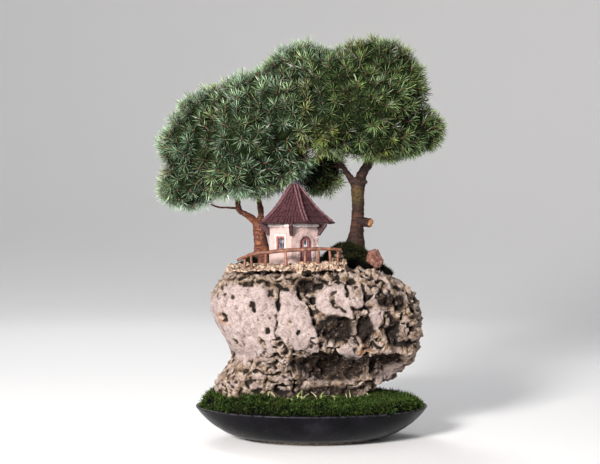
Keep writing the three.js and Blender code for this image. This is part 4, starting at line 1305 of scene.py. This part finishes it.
def wall_block(shape, wall, x_span, z_span, out_span, soft=0.2):
    low, high = out_span
    block(shape, [on_wall(wall, x, out, z) for x in x_span for out in (high, low) for z in z_span], soft)


def closed(shape, name, finish, node_name=None, smooth=False):
    """A piece of closed bodies, with all faces turned outward."""
    bmesh.ops.recalc_face_normals(shape, faces=shape.faces)
    piece(shape, name, [finish], node_name, smooth)


def bars(wall, spans, name, finish):
    shape = bmesh.new()
    for span in spans:
        wall_block(shape, wall, *span)
    closed(shape, name, finish)


def door_stones():
    """The stones of the door's arch and jambs."""
    dice = random.Random(3)
    shape = bmesh.new()
    for i in range(ARCH_STONES):
        a0, a1 = (math.pi * (i + e) / ARCH_STONES for e in (0.07, 0.93))
        outer = DOOR_HALF + dice.uniform(2.4, 3.8)
        thick = dice.uniform(0.7, 1.5)
        corners = [
            on_wall(DOOR_WALL, DOOR_MIDDLE + r * math.cos(a), out, DOOR_SPRING + r * math.sin(a))
            for a in (a1, a0) for out in (thick, -0.3) for r in (DOOR_HALF, outer)
        ]
        block(shape, corners, 0.35)
    for side in (-1, 1):
        z = DOOR_LOW + 0.4
        while z < DOOR_SPRING - 1:
            top = min(z + dice.uniform(2.4, 4.0), DOOR_SPRING)
            wide = DOOR_HALF + dice.uniform(2.2, 3.8)
            span = sorted((DOOR_MIDDLE + side * DOOR_HALF, DOOR_MIDDLE + side * wide))
            wall_block(shape, DOOR_WALL, span, (z + 0.2, top - 0.2), (-0.3, dice.uniform(0.7, 1.4)), 0.35)
            z = top
    closed(shape, "door_stones", PLASTER)


def corner_stones():
    """Small light and dark stones up the corner right of the door."""
    dice = random.Random(4)
    corner = math.radians(FIRST_CORNER + 144)
    light, dark = [], []
    z = 194.0
    while z < 231:
        at = around_house(corner + dice.uniform(-0.05, 0.03), WALL_R - 0.2, z)
        (light if dice.random() < 0.45 else dark).append((at, dice.uniform(1.0, 1.6), UP))
        z += dice.uniform(1.0, 1.7)
    chips = [chip_mesh(s) for s in range(30, 35)]
    scatter(chips, light, "light_corner_stones", [TRIM])
    scatter(chips, dark, "dark_corner_stones", [RED_WOOD])


def cornice():
    """The lumpy white band under the eaves."""
    shape = bmesh.new()
    for wall in range(5):
        angles = [math.radians(FIRST_CORNER + 72 * (wall + e)) for e in (0, 1)]
        start, end = (around_house(a, WALL_R + 0.9, CORNICE_Z) for a in angles)
        shape.from_mesh(rod([start, start.lerp(end, 0.5), end], [1.55, 1.6, 1.55], 4, 20))
    bmesh.ops.remove_doubles(shape, verts=shape.verts, dist=0.001)
    raised(shape, cornice_height)
    piece(shape, "cornice", [BRIGHTENED_CORNICE], smooth=True)


def roof_point(side, u, t, lift=0.0):
    """A point of a roof slope: u across it from 0 to 1, t up it from 0 to 1, lift out of it."""
    bow = 1 - 0.12 * math.sin(math.pi * t)
    radius = (EAVE_R + (ROOF_TOP_R - EAVE_R) * t) * bow
    angles = [math.radians(FIRST_CORNER + ROOF_TURN + 72 * (side + e)) for e in (0, 1)]
    z = EAVE_Z + EAVE_LIFT + (ROOF_TOP_Z - EAVE_Z - EAVE_LIFT) * t
    a, b = (around_house(angle, radius, z) for angle in angles)
    middle = sum(angles) / 2
    outward = Vector((math.sin(middle), -math.cos(middle), 0.75)).normalized()
    return a.lerp(b, u) + outward * lift


def slope_wide(side, t):
    return (roof_point(side, 1, t) - roof_point(side, 0, t)).length


def shingles():
    dice = random.Random(12)
    shape = bmesh.new()
    for side in range(5):
        for low, high in zip(COURSES, COURSES[1:]):
            count = max(3, round(slope_wide(side, low) / SHINGLE_WIDE))
            shift = dice.uniform(-0.3, 0.3)
            for i in range(count):
                slit = dice.uniform(0.08, 0.24)
                left = 0.0 if i == 0 else (i + shift + slit / 2) / count
                right = 1.0 if i == count - 1 else (i + 1 + shift - slit / 2) / count
                foot = low - 0.03 - dice.uniform(0, 0.035)
                ends = ((foot, dice.uniform(0.9, 1.7)), (high, 0.35))
                corners = [
                    roof_point(side, u, t, lift - deep)
                    for u in (left, right) for deep in (SHINGLE_THICK, 0) for t, lift in ends
                ]
                block(shape, corners, 0.14)
    closed(shape, "roof_shingles", SHINGLE)


def hips():
    """Two rows of cover boards along each hip."""
    shape = bmesh.new()
    for side in range(5):
        for i in range(HIP_BOARDS):
            ends = ((max(0, i - 0.2) / HIP_BOARDS, 1.5), ((i + 1) / HIP_BOARDS, 1.0))
            for edge, way in ((0, 1), (1, -1)):
                points = []
                for t, lift in ends:
                    share = min(0.5, 1.35 / slope_wide(side, t))
                    points.append(roof_point(side, edge + way * share, t, lift))
                shape.from_mesh(rod(points, [1.25, 1.0], 2, 2))
    closed(shape, "roof_hips", HIGHLIGHTED_HIP, smooth=True)


def spun(profile, segments):
    """A body turned round +Z from a profile of (radius, height) points."""
    shape = bmesh.new()
    verts = [shape.verts.new((r, 0, z)) for r, z in profile]
    edges = [shape.edges.new(pair) for pair in zip(verts, verts[1:])]
    bmesh.ops.spin(
        shape, geom=verts + edges, cent=(0, 0, 0), axis=(0, 0, 1), angle=2 * math.pi,
        steps=segments, use_merge=True,
    )
    bmesh.ops.remove_doubles(shape, verts=shape.verts, dist=0.001)
    bmesh.ops.recalc_face_normals(shape, faces=shape.faces)
    return shape


def roof_cap():
    shape = spun(CAP_PROFILE, 24)
    bmesh.ops.translate(shape, vec=HOUSE + UP * (ROOF_TOP_Z + 0.3), verts=shape.verts)
    raised(shape, cap_height)
    piece(shape, "roof_top_cap", [CAP], "house_roof_cap", smooth=True)


def door():
    shape = bmesh.new()
    for i in range(DOOR_BOARDS):
        span = [DOOR_MIDDLE + DOOR_HALF * (2 * (i + e) / DOOR_BOARDS - 1) for e in (0.04, 0.96)]
        rise = [math.sqrt(max(0.0, DOOR_HALF**2 - (x - DOOR_MIDDLE) ** 2)) for x in span]
        corners = [
            on_wall(DOOR_WALL, x, out, z)
            for x, up in zip(span, rise) for out in (-0.8, -2.2) for z in (DOOR_LOW, DOOR_SPRING + up)
        ]
        block(shape, corners, 0.2)
    closed(shape, "door_boards", DOOR_WOOD, "house_door")
    bars(DOOR_WALL, [((-1.2, 4.6), (210.6, 217.6), (-1.2, -0.5))], "door_light", PANE)
    bars(DOOR_WALL, DOOR_RAILS, "door_rails", RED_WOOD)
    bars(DOOR_WALL, [((2.5, 3.1), (210.6, 217.4), (-1.0, -0.2))], "door_light_bar", TRIM)


def refinished():
    """The CAD nodes that stay get their finishes."""
    finishes = {"house_window_pane": PANE, "house_door_step": STEP, "house_roof": DARK_TIMBER}
    for i in range(1, 6):
        finishes[f"house_eave_bracket_{i}"] = DARK_TIMBER
    for name, finish in finishes.items():
        nodes[name].data.materials.clear()
        nodes[name].data.materials.append(finish)


house_walls()
bars(WINDOW_WALL, WINDOW_FRAME, "window_frame", TRIM)
bars(WINDOW_WALL, WINDOW_REVEAL, "window_reveal", RED_WOOD)
door_stones()
corner_stones()
cornice()
shingles()
hips()
roof_cap()
door()
refinished()


# Tray
TRAY_PROFILE = [
    (0, 9), (85, 9), (101, 16), (112.6, 25), (121.9, 34.6), (124, 36.6), (125.6, 37), (126.6, 36.8),
    (TRAY_LONG, 36), (126.4, 35), (125.6, 34), (122.4, 29.6), (117, 24), (112, 19.4), (105.5, 14.7),
    (96, 9), (87, 5.2), (80, 4.8), (66, 4.9), (65, 4.4), (65.2, 0.6), (64.4, 0), (61, 0),
    (60.2, 0.2), (59.6, 1.2), (59.4, 4.6), (57, 5), (0, 5),
]
# The rim lies beyond RIM_R, and the bare clay of the foot is within FOOT_R and below FOOT_HIGH
RIM_R = 120
FOOT_R, FOOT_HIGH = 65.5, 3


def glaze_finish():
    made = Finish("black_glaze", Roughness=0.3, Specular_IOR_Level=0.06)
    dark, middle, light = (0.002, 0.002, 0.003), (0.005, 0.0045, 0.006), (0.012, 0.011, 0.015)
    colour = made.ramp(made.speckle(30, 5), (0.35, dark), (0.55, middle), (0.72, light))
    # Painted highlight: the rim's top is lighter in patches.
    painted_rim_highlight = made.maths("MULTIPLY", made.stored("edge"), made.level(made.speckle(6, 5), 0.38, 0.62))
    colour = made.mixed(painted_rim_highlight, colour, (0.035, 0.031, 0.04))
    clay = made.ramp(made.speckle(3, 5), (0.4, (0.3, 0.22, 0.16)), (0.6, (0.6, 0.5, 0.4)))
    colour = made.mixed(made.stored("bare"), colour, clay)
    rough = {"Value": made.speckle(12, 6), "To Min": 0.18, "To Max": 0.42}
    made.tree.links.new(made.node("MapRange", rough, "Result"), made.shader.inputs["Roughness"])
    return made.made(colour, made.speckle(16, 3), 0.5, 0.5)


def tray():
    shape = spun(TRAY_PROFILE, 128)
    rims = [(math.hypot(v.co.x, v.co.y), v.co.z) for v in shape.verts]
    for v in shape.verts:
        v.co.x += TRAY_X
        v.co.y *= TRAY_FLAT
    mesh = mesh_of(shape, "glazed_tray")
    store(mesh, "edge", [smoothstep(35, 36.5, z) if r > RIM_R else 0.0 for r, z in rims])
    store(mesh, "bare", [1.0 if r < FOOT_R and z < FOOT_HIGH else 0.0 for r, z in rims])
    piece(mesh, "glazed_tray", [glaze_finish()], "tray", smooth=True)


tray()


# Floor and light
FLOOR_FLAT, FLOOR_RISE, FLOOR_HIGH = 1900, 1300, 2400
LIT = Vector((0, 0, 0.22))
# Soft lights: the place, the size, the power and the colour
LIGHTS = {
    "key": ((-0.88, -1.8, 0.76), 0.4, 38, (1, 0.965, 0.93)),
    "fill": ((1.5, -1.2, 0.9), 1.2, 0.4, (0.95, 0.97, 1)),
    "back": ((-0.9, 2.2, 1.9), 1.2, 15, (1, 1, 1)),
}


def floor():
    """A pale floor that rises all round into a seamless backdrop."""
    reach = FLOOR_FLAT + FLOOR_RISE
    turn = [math.radians(a) for a in range(0, 91, 10)]
    sweep = [(FLOOR_FLAT + FLOOR_RISE * math.sin(a), FLOOR_RISE * (1 - math.cos(a))) for a in turn]
    shape = spun([(0, 0)] + sweep + [(reach, FLOOR_HIGH)], 72)
    for face in shape.faces:
        if face.normal.z < -0.01 or face.normal.dot(face.calc_center_median()) > 0.01:
            face.normal_flip()
    made = bpy.data.objects.new("floor", mesh_of(shape, "floor"))
    scene.collection.objects.link(made)
    pale = Finish("pale_floor", Roughness=0.9, Specular_IOR_Level=0.2, Base_Color=(0.78, 0.78, 0.785, 1))
    made.data.materials.append(pale.material)
    made.data.shade_smooth()


def light():
    for name, (at, size, power, colour) in LIGHTS.items():
        lamp = bpy.data.lights.new(name, "AREA")
        lamp.energy = power
        lamp.size = size
        lamp.spread = math.radians(110)
        lamp.color = colour
        made = bpy.data.objects.new(name, lamp)
        scene.collection.objects.link(made)
        made.location = at
        made.rotation_euler = (LIT - Vector(at)).to_track_quat("-Z", "Y").to_euler()
    world = bpy.data.worlds.new("studio")
    world.use_nodes = True
    background = world.node_tree.nodes["Background"]
    background.inputs["Color"].default_value = (0.82, 0.83, 0.85, 1)
    background.inputs["Strength"].default_value = 0.42
    scene.world = world


floor()
light()
scene.view_settings.view_transform = "Standard"
